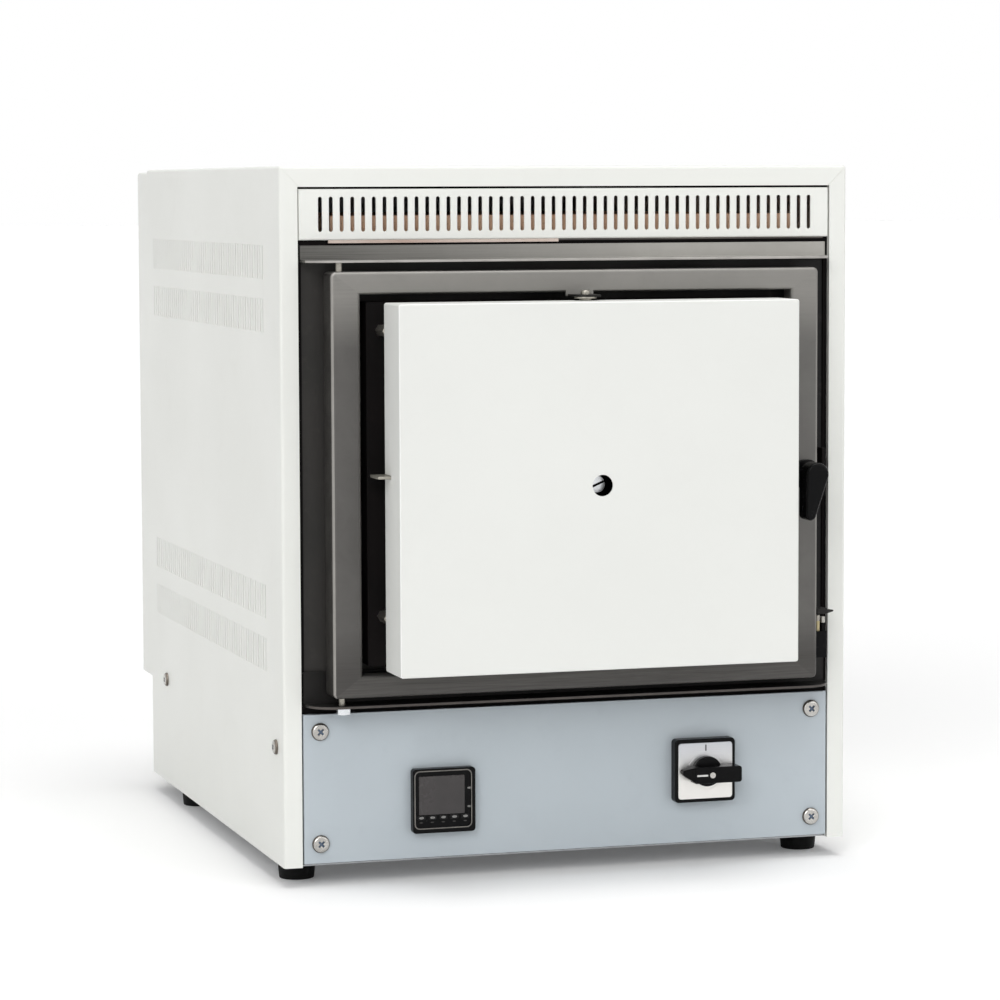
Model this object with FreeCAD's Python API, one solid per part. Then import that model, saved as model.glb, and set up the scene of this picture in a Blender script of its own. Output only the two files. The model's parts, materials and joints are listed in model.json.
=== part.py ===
import FreeCAD, Part
import math
import os

from FreeCAD import Vector

# A bench burnout furnace, in millimetres. +Z is up, +X is to the right of somebody
# who faces the door, and +Y runs from the door to the back. The origin is on the
# ground, under the middle of the overall box.

# General fits and stock
sheet = 1.2                    # casing, cover and grille sheet
frame_sheet = 1.5              # inner frames, plates and trays
seat_gap = 0.3                 # pieces that rest beside each other with play
slip_gap = 0.15                # sheet parts that slide inside each other
running_gap = 0.05             # radial clearance of pins and shafts
hole_gap = 0.3                 # radial clearance of holes for bolts and screws
cut_past = 3.0                 # how far a cutter runs past the face it opens

# Casing
casing_width = 440.0
casing_depth = 475.0
casing_bend = 2.5              # outer bend radius of the casing sheet
flange_width = 15.0            # front flange round the opening
frame_setback = 4.5            # from the casing's front face to the inner frame
panel_gap = 1.0                # between the flange and what it surrounds

# Heights, from the ground up
foot_height = 15.0
panel_bottom_gap = 2.5
panel_height = 110.3
panel_to_plate = 5.9
hinge_plate_thickness = 2.0
door_lift = 5.9                # lower hinge plate to door frame
door_height = 309.4
door_head_gap = 6.4            # door frame to upper hinge plate
upper_lip_height = 10.4
lower_lip_height = 16.3
grille_gap = 3.7
grille_height = 37.0
grille_top_gap = 1.5

# Vent slots, all made by one punch
slot_width = 3.0
slot_height = 25.4
slot_pitch = 8.06
grille_slot_margin = 12.0      # from the grille's end to its first slot, at least
grille_slot_rise = 6.0         # grille's lower edge to the slots
side_slot_end = 24.0           # from the last slot to the casing's rear edge, at least
side_slot_start = 52.0         # from the casing's front face
vented_side = -1               # the left
side_band_rise = 39.4          # between the two bands of a pair
lower_band_height = 154.0
upper_band_height = 405.0
rear_slot_count = 16
rear_band_inset = 34.0

# Base, feet and screws
tray_wall_height = 12.0
foot_top_radius = 14.5
foot_bottom_radius = 13.0
foot_recess_radius = 6.0
foot_recess_depth = 8.0
foot_inset_x = 20.0
foot_front_inset = 45.0
foot_rear_inset = 90.0
screw_radius = 2.5
screw_length = 12.0
screw_head_radius = 5.0
screw_head_height = 2.6
screw_head_sides = 12         # repeated small rounds are many-sided, to stay light
foot_sides = 24
side_screw_height = 102.0
side_screw_front = 22.0
bulkhead_screw_lap = 8.0       # rear side screws behind the bulkhead's face

# Inner frames
frame_margin = 2.0             # inner frame's opening inside the casing's
frame_flange_depth = 28.0
bay_opening_inset_x = 22.0
bay_opening_inset_z = 15.0
grille_opening_inset = 4.0
front_plate_lap = 9.0
bulkhead_flange_depth = 24.0
deck_drop = 0.6                # hot box floor under the door frame's lower edge
deck_fold = 10.0

# Rear
rear_opening_inset_x = 30.0
rear_opening_bottom = 120.0
rear_opening_top_inset = 27.0
rear_cover_depth = 41.0
rear_cover_inset = 4.0
rear_cover_bottom = 96.0
rear_cover_top_gap = 2.0
rear_tab_width = 14.0
rear_tab_depth = 16.0
rear_screw_rows = 2
rear_screw_inset = 46.0
gland_inset = 70.0             # from the casing's side
gland_height = 56.0
gland_bore_radius = 5.0
gland_thread_radius = 8.0
gland_hex_flats = 22.0
gland_hex_length = 6.0
gland_dome_radius = 10.5
gland_dome_length = 12.0
gland_inner_length = 12.0
gland_nut_length = 5.0

# Hot box
muffle_half_width = 100.0      # inside
muffle_half_height = 65.0      # inside
muffle_depth = 300.0           # inside
muffle_wall = 10.0
muffle_corner = 8.0
side_board_thickness = 70.0
rear_board_thickness = 87.5
insulation_top_gap = 36.0      # under the casing's top
mouth_margin = 12.0            # front plate's opening round the muffle's mouth
hearth_thickness = 8.0
hearth_side_gap = 3.0
hearth_front_gap = 40.5        # behind the muffle's front edge
hearth_end_gap = 9.5
ribbon_thickness = 1.5
ribbon_width = 6.0
ribbon_runs = 6
ribbon_spacing = 17.0
ribbon_front_gap = 18.5        # behind the muffle's front edge
ribbon_end_gap = 15.5
ribbon_pocket = 2.4
ribbon_tail_reach = 22.0       # behind the bulkhead
ribbon_pocket_margin = 5.0
terminal_width = 16.0
terminal_height = 20.0
terminal_depth = 18.0
thermocouple_radius = 4.0
thermocouple_rise = 40.0
thermocouple_reach = 22.0      # into the chamber
thermocouple_flange_size = 28.0
thermocouple_flange = 3.0
thermocouple_neck_radius = 7.0
thermocouple_neck = 16.0
thermocouple_head_size = 34.0
thermocouple_head_depth = 20.0

# Hinges
hinge_inset = 9.0              # hinge line from the door frame's left side
hinge_ahead = 12.0             # hinge line ahead of the casing's front face
hinge_plate_reach = 21.0
hinge_plate_corner = 22.0
lip_sheet = 1.5
hinge_pin_radius = 3.0
hinge_pin_engagement = 20.0
hinge_head_radius = 5.0
hinge_head_height = 2.0
hinge_collar_radius = 4.5
hinge_nut_flats = 10.0
hinge_nut_height = 5.0
hinge_block_length = 26.0
hinge_block_half = 5.0

# Door frame
door_side_gap = 17.0           # between the door frame and the casing's flange
door_reach_frame = 24.0        # frame's face ahead of the casing
door_frame_depth = 22.0
door_bend = 4.0
door_side_member = 21.0
door_rail = 15.0
door_return = 14.0

# White door cover
cover_side_gap = 15.0          # between the frame's opening and the cover
cover_end_gap = 6.2            # the same, above and below
cover_drop = 0.8               # cover's centre under the frame's centre
cover_reach = 77.0             # cover's face ahead of the casing
cover_depth = 40.0
cover_corner = 3.0
cover_lip = 14.0
cover_hole_radius = 8.25
standoff_flats = 8.0
standoff_edge = 8.0            # from the cover's side
standoff_rise = 104.0

# Plug and what carries it
tray_side_gap = 7.0            # between frame opening and plug tray
tray_front = 16.0              # tray face ahead of the casing
tray_back = 4.0                # tray rim behind the casing's front face
tray_corner = 1.5
plug_gap = 3.0                 # plug's root inside the muffle's mouth
plug_recess_share = 0.7        # radius of the nut's recess, as a share of its flats
plug_recess_spare = 2.4
plug_taper = 6.5
plug_reach = 45.0              # plug's tip behind the casing's front face
crossbar_thickness = 5.0
crossbar_front = 30.0
crossbar_depth = 12.0
crossbar_boss_flats = 17.0
centre_bolt_radius = 4.0
centre_head_radius = 6.0
centre_head_height = 5.0
centre_head_place = 64.0
centre_slot_width = 1.6
centre_slot_depth = 1.6
centre_slot_angle = 35.0
centre_nut_flats = 13.0
centre_nut_height = 5.0
centre_bolt_spare = 1.2        # thread past its last nut
hanger_half_width = 11.0
hanger_thickness = 3.0
hanger_front = 50.0
hanger_back = 12.0
hanger_bolt_radius = 3.0
hanger_bolt_place = 44.0
hanger_washer_radius = 8.5
hanger_washer_thickness = 1.5
hanger_hex_flats = 10.0
hanger_hex_height = 4.0
hanger_bolt_spare = 1.2        # thread past its nut

# Door handle and latch
handle_inset = 10.0            # spindle from the door frame's right side
rose_width = 19.0
rose_height = 34.0
rose_thickness = 3.0
rose_corner = 6.0
handle_hub_radius = 9.0
handle_hub_length = 13.0
lever_top_radius = 10.5
lever_tip_radius = 5.3
lever_length = 28.0
lever_thickness = 16.0
spindle_radius = 4.0
latch_front = 12.0             # tongue's front face ahead of the casing
latch_thickness = 3.0
latch_half_height = 4.0
latch_hub_radius = 7.0
latch_reach = 18.5
latch_slot_rise = 22.0
latch_slot_drop = 2.2
keeper_clearance = 0.5
keeper_sheet = 2.0
keeper_lip = 4.0
keeper_half_height = 18.0
keeper_lip_gap = 2.0
keeper_foot = 9.0

# Door switch
striker_rise = 46.7            # above the door frame's lower edge
striker_thickness = 2.2
striker_reach = 15.5
striker_front = 20.0
striker_back = 8.0
striker_foot_height = 10.0
striker_foot_thickness = 1.5
plunger_outboard = 6.0         # from the door frame's side
plunger_ahead = 12.0
plunger_radius = 2.0
plunger_length = 20.0
plunger_travel = 1.5
plunger_stand = 12.0           # plunger above the switch
door_switch_width = 9.0
door_switch_height = 20.0
door_switch_front = 17.0

# Control panel
panel_screw_inset = 11.5
panel_screw_rise = 14.5
panel_screw_drop = 12.8
panel_screw_head_radius = 6.0
controller_inset = 104.0       # from the panel's left edge
controller_z = 60.5
instrument_size = 48.0
instrument_corner = 3.0
controller_proud = 7.0
controller_body = 44.6
controller_length = 90.0
cutout_gap = 0.2
controller_recess = 1.2
controller_rim = 3.2
window_width = 38.0
window_height = 27.0
window_rise = 5.0
window_thickness = 0.9
key_count = 5
key_pitch = 8.0
key_width = 5.6
key_height = 3.6
key_drop = 15.0
key_proud = 0.8
key_length = 2.6
key_travel = 0.5
clip_size = 54.0
clip_length = 9.0
switch_inset = 100.0           # from the panel's right edge
switch_z = 73.0
switch_base_depth = 9.0
switch_plate_inset = 1.6
switch_plate_thickness = 1.0
switch_plate_corner = 2.4
switch_block_size = 38.0
switch_block_length = 42.0
shaft_radius = 3.0
shaft_length = 30.0
knob_hub_radius = 12.0
knob_hub_length = 5.0
knob_bar_depth = 10.0
knob_bar_back_radius = 7.0
knob_bar_end_radius = 4.5
knob_bar_reach = 24.0
knob_tip_reach = 15.0

# Electrics in the lower bay
relay_inset = 110.0            # from the casing's right side
relay_place = 150.0
relay_width = 45.0
relay_length = 58.0
relay_height = 24.0
heatsink_base = 5.0
heatsink_fin = 2.0
heatsink_fin_count = 8
heatsink_fin_height = 26.0
heatsink_width = 80.0
heatsink_length = 90.0
strip_inset = 110.0            # from the casing's left side
strip_place = 330.0
strip_length = 90.0
strip_width = 34.0
strip_height = 36.0
strip_ways = 6

# Levels and planes worked out from the sizes above
half_width = casing_width / 2
front = (cover_reach - casing_depth - rear_cover_depth) / 2
back = front + casing_depth
opening_half = half_width - flange_width
panel_half = opening_half - panel_gap
inner_half = half_width - sheet - slip_gap
panel_bottom = foot_height + panel_bottom_gap
panel_top = panel_bottom + panel_height
lower_plate_bottom = panel_top + panel_to_plate
lower_plate_top = lower_plate_bottom + hinge_plate_thickness
door_bottom = lower_plate_top + door_lift
door_top = door_bottom + door_height
door_middle = (door_bottom + door_top) / 2
upper_plate_bottom = door_top + door_head_gap
upper_plate_top = upper_plate_bottom + hinge_plate_thickness
grille_bottom = upper_plate_top + upper_lip_height + grille_gap
grille_top = grille_bottom + grille_height
casing_opening_top = grille_top + grille_top_gap
casing_top = casing_opening_top + flange_width
frame_front = front + frame_setback
frame_back = frame_front + frame_sheet
hot_front = frame_back + frame_sheet
deck_top = door_bottom - deck_drop
tray_floor_top = foot_height + frame_sheet
frame_bottom = tray_floor_top
frame_top = casing_top - sheet - slip_gap
muffle_outer_half = muffle_half_width + muffle_wall
muffle_outer_rise = muffle_half_height + muffle_wall
muffle_back = hot_front + muffle_depth + muffle_wall
bulkhead_front = muffle_back + rear_board_thickness
bulkhead_back = bulkhead_front + frame_sheet
insulation_half_width = muffle_outer_half + side_board_thickness
ribbon_front = hot_front + ribbon_front_gap
ribbon_back = hot_front + muffle_depth - ribbon_end_gap
door_half_width = opening_half - door_side_gap
hinge_x = hinge_inset - door_half_width
hinge_y = front - hinge_ahead
handle_x = door_half_width - handle_inset
door_face = front - door_reach_frame
door_rear = door_face + door_frame_depth
cover_half_width = door_half_width - door_side_member - cover_side_gap
cover_height = door_height - 2 * (door_rail + cover_end_gap)
cover_face = front - cover_reach
cover_rear = cover_face + cover_depth
cover_middle = door_middle - cover_drop
tray_half_width = door_half_width - door_side_member - tray_side_gap
tray_half_height = door_height / 2 - door_rail - tray_side_gap
tray_face = front - tray_front
plunger_x = door_half_width + plunger_outboard
controller_x = controller_inset - panel_half
switch_x = panel_half - switch_inset
gland_x = gland_inset - half_width
relay_x = half_width - relay_inset
strip_x = strip_inset - half_width
grille_slot_count = 1 + int((2 * (panel_half - grille_slot_margin) - slot_width) / slot_pitch)
side_slot_count = 1 + int((casing_depth - side_slot_start - side_slot_end - slot_width) / slot_pitch)
hub_back = door_face - rose_thickness - seat_gap
lever_back = hub_back - handle_hub_length
latch_face = front - latch_front


def block(x0, x1, y0, y1, z0, z1):
    return Part.makeBox(x1 - x0, y1 - y0, z1 - z0, Vector(x0, y0, z0))


def rod(radius, length, x, y, z, direction):
    return Part.makeCylinder(radius, length, Vector(x, y, z), direction)


along_x = Vector(1, 0, 0)
along_y = Vector(0, 1, 0)
along_z = Vector(0, 0, 1)


def rounded_outline(x, y, z, width, height, radius):
    """A rounded rectangle in an upright plane, facing the door side."""
    right, up = width / 2 - radius, height / 2 - radius
    if radius <= 0:
        corners = [(-right, -up), (right, -up), (right, up), (-right, up)]
        points = [Vector(x + a, y, z + b) for a, b in corners]
        return Part.Wire(Part.makePolygon(points + points[:1]))
    edges = []
    slant = radius * math.sqrt(0.5)
    centres = [(right, up, 1, 1), (-right, up, -1, 1), (-right, -up, -1, -1), (right, -up, 1, -1)]
    arcs = []
    for index, (a, b, side, rise) in enumerate(centres):
        flat = Vector(x + a + side * radius, y, z + b)
        tall = Vector(x + a, y, z + b + rise * radius)
        middle = Vector(x + a + side * slant, y, z + b + rise * slant)
        start, end = (flat, tall) if index % 2 == 0 else (tall, flat)
        arcs.append((start, middle, end))
    for index, (start, middle, end) in enumerate(arcs):
        edges.append(Part.Arc(start, middle, end).toShape())
        following = arcs[(index + 1) % len(arcs)][0]
        edges.append(Part.LineSegment(end, following).toShape())
    return Part.Wire(edges)


def slab(x, z, width, height, radius, y0, y1):
    """A rounded rectangle, upright, from y0 back to y1."""
    outline = rounded_outline(x, y0, z, width, height, radius)
    return Part.Face(outline).extrude(Vector(0, y1 - y0, 0))


def open_tray(x, z, width, height, radius, y0, y1, wall):
    """A pressed tray that is open at the back."""
    outside = slab(x, z, width, height, radius, y0, y1)
    inner_radius = max(radius - wall, 0)
    inside = slab(x, z, width - 2 * wall, height - 2 * wall, inner_radius, y0 + wall, y1 + wall)
    return outside.cut(inside)


def band(x, z, width, height, wall, y0, y1):
    """A closed upright band whose inside is the given rectangle."""
    outside = slab(x, z, width + 2 * wall, height + 2 * wall, 0, y0, y1)
    return outside.cut(slab(x, z, width, height, 0, y0 - wall, y1 + wall))


def round_edges(shape, radius, wanted):
    edges = [edge for edge in shape.Edges if wanted(edge)]
    return shape.makeFillet(radius, edges)


def polygon(sides, radius, x, y, z):
    """A level regular outline with its corners on the radius."""
    turns = [math.radians(360 / sides * step) for step in range(sides)]
    points = [Vector(x + radius * math.cos(turn), y + radius * math.sin(turn), z) for turn in turns]
    return Part.Wire(Part.makePolygon(points + points[:1]))


def prism(sides, radius, length, x, y, z, direction):
    """A many-sided rod from a point along an axis."""
    shape = Part.Face(polygon(sides, radius, 0, 0, 0)).extrude(along_z * length)
    shape.Placement = FreeCAD.Placement(Vector(x, y, z), FreeCAD.Rotation(along_z, direction))
    return shape


def hexagon(flats, length, x, y, z, direction):
    return prism(6, flats / math.sqrt(3), length, x, y, z, direction)


def clear_hole(radius, x, y, z, direction, thickness):
    """A twelve-sided hole that clears a bolt or shaft, through a plate that starts at the point."""
    start = Vector(x, y, z) - direction * cut_past
    return prism(12, radius + hole_gap, thickness + 2 * cut_past, start.x, start.y, start.z, direction)


def pan_screw(x, y, z, inward, head_radius=screw_head_radius):
    """A screw whose head stands outside the point and whose shank goes inward."""
    head = prism(screw_head_sides, head_radius, screw_head_height, 0, 0, -screw_head_height, along_z)
    shank = prism(6, screw_radius, screw_length, 0, 0, 0, along_z)
    screw = head.fuse(shank)
    screw.Placement = FreeCAD.Placement(Vector(x, y, z), FreeCAD.Rotation(along_z, inward))
    return screw


def screw_hole(x, y, z, direction):
    start = Vector(x, y, z) - direction * cut_past
    return prism(6, screw_radius + hole_gap, 2 * cut_past, start.x, start.y, start.z, direction)


def together(shapes):
    joined = shapes[0]
    for shape in shapes[1:]:
        joined = joined.fuse(shape)
    return joined.removeSplitter()


def group(shapes):
    return Part.makeCompound(shapes)



nodes = {}


def side_screw_places():
    """Two on each side: one into the front frame and one into the bulkhead."""
    places = (front + side_screw_front, bulkhead_front + bulkhead_screw_lap)
    return [(side, y) for side in (-1, 1) for y in places]


def foot_places():
    x = half_width - foot_inset_x
    return [(side * x, y) for side in (-1, 1)
            for y in (front + foot_front_inset, back - foot_rear_inset)]


def rear_screw_heights():
    low = rear_cover_bottom + rear_screw_inset
    high = casing_top - rear_cover_top_gap - rear_screw_inset
    step = (high - low) / (rear_screw_rows - 1)
    return [low + step * row for row in range(rear_screw_rows)]


def vent_slots(side, z):
    """Upright slots side by side along the depth, cut through one side of the casing."""
    x0, x1 = sorted((side * (half_width - cut_past), side * (half_width + cut_past)))
    starts = [front + side_slot_start + slot_pitch * step for step in range(side_slot_count)]
    return [block(x0, x1, y, y + slot_width, z, z + slot_height) for y in starts]


def outer_casing():
    outside = block(-half_width, half_width, front, back, foot_height, casing_top)

    def bent(edge):
        middle = edge.CenterOfMass
        at_front = abs(middle.y - front) < 0.01
        upright_front = at_front and abs(abs(middle.x) - half_width) < 0.01
        top_front = at_front and abs(middle.z - casing_top) < 0.01
        top_side = abs(abs(middle.x) - half_width) < 0.01 and abs(middle.z - casing_top) < 0.01
        return upright_front or top_front or top_side

    outside = round_edges(outside, casing_bend, bent)
    inside = block(-half_width + sheet, half_width - sheet, front + sheet, back + cut_past,
                   foot_height - cut_past, casing_top - sheet)
    shell = outside.cut(inside)
    mouth = block(-opening_half, opening_half, front - cut_past, front + cut_past,
                  foot_height - cut_past, casing_opening_top)
    shell = shell.cut(mouth)
    lips = [
        block(-opening_half - sheet, -opening_half, front + sheet / 2, frame_front,
              foot_height, casing_opening_top + sheet),
        block(opening_half, opening_half + sheet, front + sheet / 2, frame_front,
              foot_height, casing_opening_top + sheet),
        block(-opening_half, opening_half, front + sheet / 2, frame_front,
              casing_opening_top, casing_opening_top + sheet),
    ]
    shell = together([shell] + lips)
    cutters = []
    for band_height in (lower_band_height, upper_band_height):
        for rise in (0, side_band_rise):
            cutters += vent_slots(vented_side, band_height + rise)
    for side, y in side_screw_places():
        cutters.append(screw_hole(side * half_width, y, side_screw_height, along_x))
    return shell.cut(group(cutters))


def base_tray():
    rear = back - sheet
    outside = block(-inner_half, inner_half, frame_back, rear, foot_height, foot_height + tray_wall_height)
    inside = block(-inner_half + frame_sheet, inner_half - frame_sheet, frame_back + frame_sheet,
                   rear - frame_sheet, tray_floor_top, foot_height + tray_wall_height + cut_past)
    tray = outside.cut(inside)
    holes = [screw_hole(x, y, foot_height, along_z) for x, y in foot_places()]
    return tray.cut(group(holes))


def front_frame():
    plate = block(-inner_half, inner_half, frame_front, frame_back, frame_bottom, frame_top)
    flange_bottom = foot_height + tray_wall_height + seat_gap
    flanges = [
        block(-inner_half, -inner_half + frame_sheet, frame_front, frame_back + frame_flange_depth,
              flange_bottom, frame_top),
        block(inner_half - frame_sheet, inner_half, frame_front, frame_back + frame_flange_depth,
              flange_bottom, frame_top),
    ]
    shape = together([plate] + flanges)
    door_space_half = opening_half - frame_margin
    bay = block(-panel_half + bay_opening_inset_x, panel_half - bay_opening_inset_x,
                frame_front - cut_past, frame_back + cut_past,
                panel_bottom + bay_opening_inset_z, panel_top - bay_opening_inset_z)
    door_space = block(-door_space_half, door_space_half, frame_front - cut_past, frame_back + cut_past,
                       lower_plate_top + lower_lip_height - frame_margin, upper_plate_top)
    vent = block(-panel_half + grille_opening_inset, panel_half - grille_opening_inset,
                 frame_front - cut_past, frame_back + cut_past,
                 grille_bottom + grille_opening_inset, grille_top - grille_opening_inset)
    cutters = [bay, door_space, vent]
    for x, z in panel_screw_places():
        cutters.append(screw_hole(x, frame_front, z, along_y))
    for side, y in side_screw_places()[::2]:
        cutters.append(screw_hole(side * inner_half, y, side_screw_height, along_x))
    return shape.cut(group(cutters))


def front_plate():
    half = opening_half - frame_margin + front_plate_lap
    bottom = lower_plate_top + lower_lip_height - frame_margin - front_plate_lap
    top = upper_plate_top + front_plate_lap
    plate = block(-half, half, frame_back, hot_front, bottom, top)
    mouth = slab(0, door_middle, 2 * (muffle_half_width + mouth_margin),
                 2 * (muffle_half_height + mouth_margin), 0,
                 frame_back - cut_past, hot_front + cut_past)
    return plate.cut(mouth)


def rear_bulkhead():
    bottom = foot_height + tray_wall_height + seat_gap
    plate = block(-inner_half, inner_half, bulkhead_front, bulkhead_back, bottom, frame_top)
    flanges = [
        block(-inner_half, -inner_half + frame_sheet, bulkhead_front,
              bulkhead_back + bulkhead_flange_depth, bottom, frame_top),
        block(inner_half - frame_sheet, inner_half, bulkhead_front,
              bulkhead_back + bulkhead_flange_depth, bottom, frame_top),
    ]
    shape = together([plate] + flanges)
    cutters = [clear_hole(thermocouple_radius, 0, bulkhead_front, door_middle + thermocouple_rise,
                          along_y, frame_sheet)]
    for side, z in ribbon_tail_places():
        cutters.append(tail_slit(side, z, bulkhead_front - cut_past, bulkhead_back + cut_past))
    for side, y in side_screw_places()[1::2]:
        cutters.append(screw_hole(side * inner_half, y, side_screw_height, along_x))
    return shape.cut(group(cutters))


def rear_panel():
    plate = block(-inner_half, inner_half, back - sheet, back, foot_height, frame_top)
    opening = block(-half_width + rear_opening_inset_x, half_width - rear_opening_inset_x,
                    back - cut_past, back + cut_past,
                    rear_opening_bottom, casing_top - rear_opening_top_inset)
    gland_hole = rod(gland_thread_radius + hole_gap, 2 * cut_past, gland_x, back - cut_past,
                     gland_height, along_y)
    shape = plate.cut(group([opening, gland_hole]))
    inside = half_width - rear_cover_inset - sheet
    tabs = []
    holes = []
    for side in (-1, 1):
        for z in rear_screw_heights():
            outer, inner = side * inside, side * (inside - sheet)
            tabs.append(block(min(outer, inner), max(outer, inner), back - sheet, back + rear_tab_depth,
                              z - rear_tab_width / 2, z + rear_tab_width / 2))
            holes.append(screw_hole(outer, back + rear_tab_depth / 2, z, along_x))
    return together([shape] + tabs).cut(group(holes))


def rear_cover():
    middle = (rear_cover_bottom + casing_top - rear_cover_top_gap) / 2
    height = casing_top - rear_cover_top_gap - rear_cover_bottom
    width = casing_width - 2 * rear_cover_inset
    outside = slab(0, middle, width, height, casing_bend, back, back + rear_cover_depth)
    inside = slab(0, middle, width - 2 * sheet, height - 2 * sheet, 0,
                  back - cut_past, back + rear_cover_depth - sheet)
    cover = outside.cut(inside)
    cutters = []
    first = -(slot_pitch * (rear_slot_count - 1) + slot_width) / 2
    for z in (rear_cover_bottom + rear_band_inset,
              casing_top - rear_cover_top_gap - rear_band_inset - slot_height):
        for step in range(rear_slot_count):
            x = first + slot_pitch * step
            cutters.append(block(x, x + slot_width, back + rear_cover_depth - cut_past,
                                 back + rear_cover_depth + cut_past, z, z + slot_height))
    for side in (-1, 1):
        for z in rear_screw_heights():
            cutters.append(screw_hole(side * width / 2, back + rear_tab_depth / 2, z, along_x))
    return cover.cut(group(cutters))


def casing_screws():
    screws = []
    for side, y in side_screw_places():
        screws.append(pan_screw(side * half_width, y, side_screw_height, Vector(-side, 0, 0)))
    for z in rear_screw_heights():
        for side in (-1, 1):
            screws.append(pan_screw(side * (half_width - rear_cover_inset), back + rear_tab_depth / 2,
                                    z, Vector(-side, 0, 0)))
    for x, y in foot_places():
        screws.append(pan_screw(x, y, foot_recess_depth, along_z))
    return group(screws)


def bay_deck():
    half = inner_half - frame_sheet - slip_gap
    outside = block(-half, half, frame_back, bulkhead_front, deck_top - deck_fold, deck_top)
    inside = block(-half - sheet, half + sheet, frame_back + frame_sheet, bulkhead_front - frame_sheet,
                   deck_top - 2 * deck_fold, deck_top - frame_sheet)
    return outside.cut(inside)


def rubber_feet():
    """Tapered feet, each with a recess for its screw's head."""
    feet = []
    for x, y in foot_places():
        foot = Part.makeLoft([polygon(foot_sides, foot_bottom_radius, x, y, 0),
                              polygon(foot_sides, foot_top_radius, x, y, foot_height)], True, True)
        recess = prism(screw_head_sides, foot_recess_radius, foot_recess_depth, x, y, 0, along_z)
        hole = prism(6, screw_radius + hole_gap, foot_height, x, y, foot_recess_depth / 2, along_z)
        feet.append(foot.cut(group([recess, hole])))
    return group(feet)


def front_grille():
    middle = (grille_bottom + grille_top) / 2
    grille = open_tray(0, middle, 2 * panel_half, grille_height, 0, front, frame_front, sheet)
    span = slot_pitch * (grille_slot_count - 1)
    slot_middle = grille_bottom + grille_slot_rise + slot_height / 2
    slots = []
    for step in range(grille_slot_count):
        x = -span / 2 + slot_pitch * step
        slots.append(slab(x, slot_middle, slot_width, slot_height, 0, front - cut_past, front + cut_past))
    return grille.cut(group(slots))


def hinge_plate(bottom, lip_height):
    """A plate with rounded front corners and a lip that turns up at its back."""
    tip = front - hinge_plate_reach
    radius = hinge_plate_corner
    slant = radius * (1 - math.sqrt(0.5))
    left, right = -panel_half, panel_half
    points = [
        Vector(left, frame_front, bottom),
        Vector(left, tip + radius, bottom),
        Vector(left + slant, tip + slant, bottom),
        Vector(left + radius, tip, bottom),
        Vector(right - radius, tip, bottom),
        Vector(right - slant, tip + slant, bottom),
        Vector(right, tip + radius, bottom),
        Vector(right, frame_front, bottom),
    ]
    edges = [
        Part.LineSegment(points[0], points[1]).toShape(),
        Part.Arc(points[1], points[2], points[3]).toShape(),
        Part.LineSegment(points[3], points[4]).toShape(),
        Part.Arc(points[4], points[5], points[6]).toShape(),
        Part.LineSegment(points[6], points[7]).toShape(),
        Part.LineSegment(points[7], points[0]).toShape(),
    ]
    plate = Part.Face(Part.Wire(edges)).extrude(along_z * hinge_plate_thickness)
    lip = block(left, right, frame_front - lip_sheet, frame_front, bottom,
                bottom + hinge_plate_thickness + lip_height)
    hole = rod(hinge_pin_radius + running_gap, hinge_plate_thickness + 2 * cut_past, hinge_x, hinge_y,
               bottom - cut_past, along_z)
    return together([plate, lip]).cut(hole)


def upper_hinge_plate():
    return hinge_plate(upper_plate_bottom, upper_lip_height)


def lower_hinge_plate():
    return hinge_plate(lower_plate_bottom, lower_lip_height)


def hinge_pins():
    """The upper pin hangs in its plate. The lower one has a collar that carries the door, and a nut."""
    upper_low = door_top - hinge_pin_engagement
    upper = together([
        rod(hinge_pin_radius, upper_plate_top - upper_low, hinge_x, hinge_y, upper_low, along_z),
        rod(hinge_head_radius, hinge_head_height, hinge_x, hinge_y, upper_plate_top, along_z),
    ])
    low = lower_plate_bottom - hinge_nut_height
    lower = together([
        rod(hinge_pin_radius, door_bottom + hinge_pin_engagement - low, hinge_x, hinge_y, low, along_z),
        rod(hinge_collar_radius, door_lift - seat_gap, hinge_x, hinge_y, lower_plate_top, along_z),
    ])
    nut = hexagon(hinge_nut_flats, hinge_nut_height, hinge_x, hinge_y, low, along_z)
    nut = nut.cut(clear_hole(hinge_pin_radius, hinge_x, hinge_y, low, along_z, hinge_nut_height))
    return group([upper, lower, nut])


def hinge_blocks():
    """Drilled blocks inside the door frame's two left corners, where the pins turn."""
    inset = frame_sheet + seat_gap
    front_face = door_face + inset
    rear_face = hinge_y + hinge_block_half
    blocks = []
    for low in (door_bottom + inset, door_top - inset - hinge_block_length):
        body = block(hinge_x - hinge_block_half, hinge_x + hinge_block_half, front_face, rear_face,
                     low, low + hinge_block_length)
        bore = rod(hinge_pin_radius + running_gap, hinge_block_length + 2 * cut_past, hinge_x, hinge_y,
                   low - cut_past, along_z)
        blocks.append(body.cut(bore))
    return group(blocks)


def ribbon_run_heights():
    first = door_middle - ribbon_spacing * (ribbon_runs - 1) / 2
    return [first + ribbon_spacing * run for run in range(ribbon_runs)]


def ribbon_tail_places():
    heights = ribbon_run_heights()
    return [(side, z) for side in (-1, 1) for z in (heights[0], heights[-1])]


def side_slab(side, x0, x1, y0, y1, z0, z1):
    """A block given by its distances from the middle plane, on one side of it."""
    low, high = (x0, x1) if side > 0 else (-x1, -x0)
    return block(low, high, y0, y1, z0, z1)


def tail_slit(side, z, y0, y1):
    half = ribbon_width / 2 + seat_gap
    return side_slab(side, muffle_half_width, muffle_half_width + ribbon_pocket, y0, y1, z - half, z + half)


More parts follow.
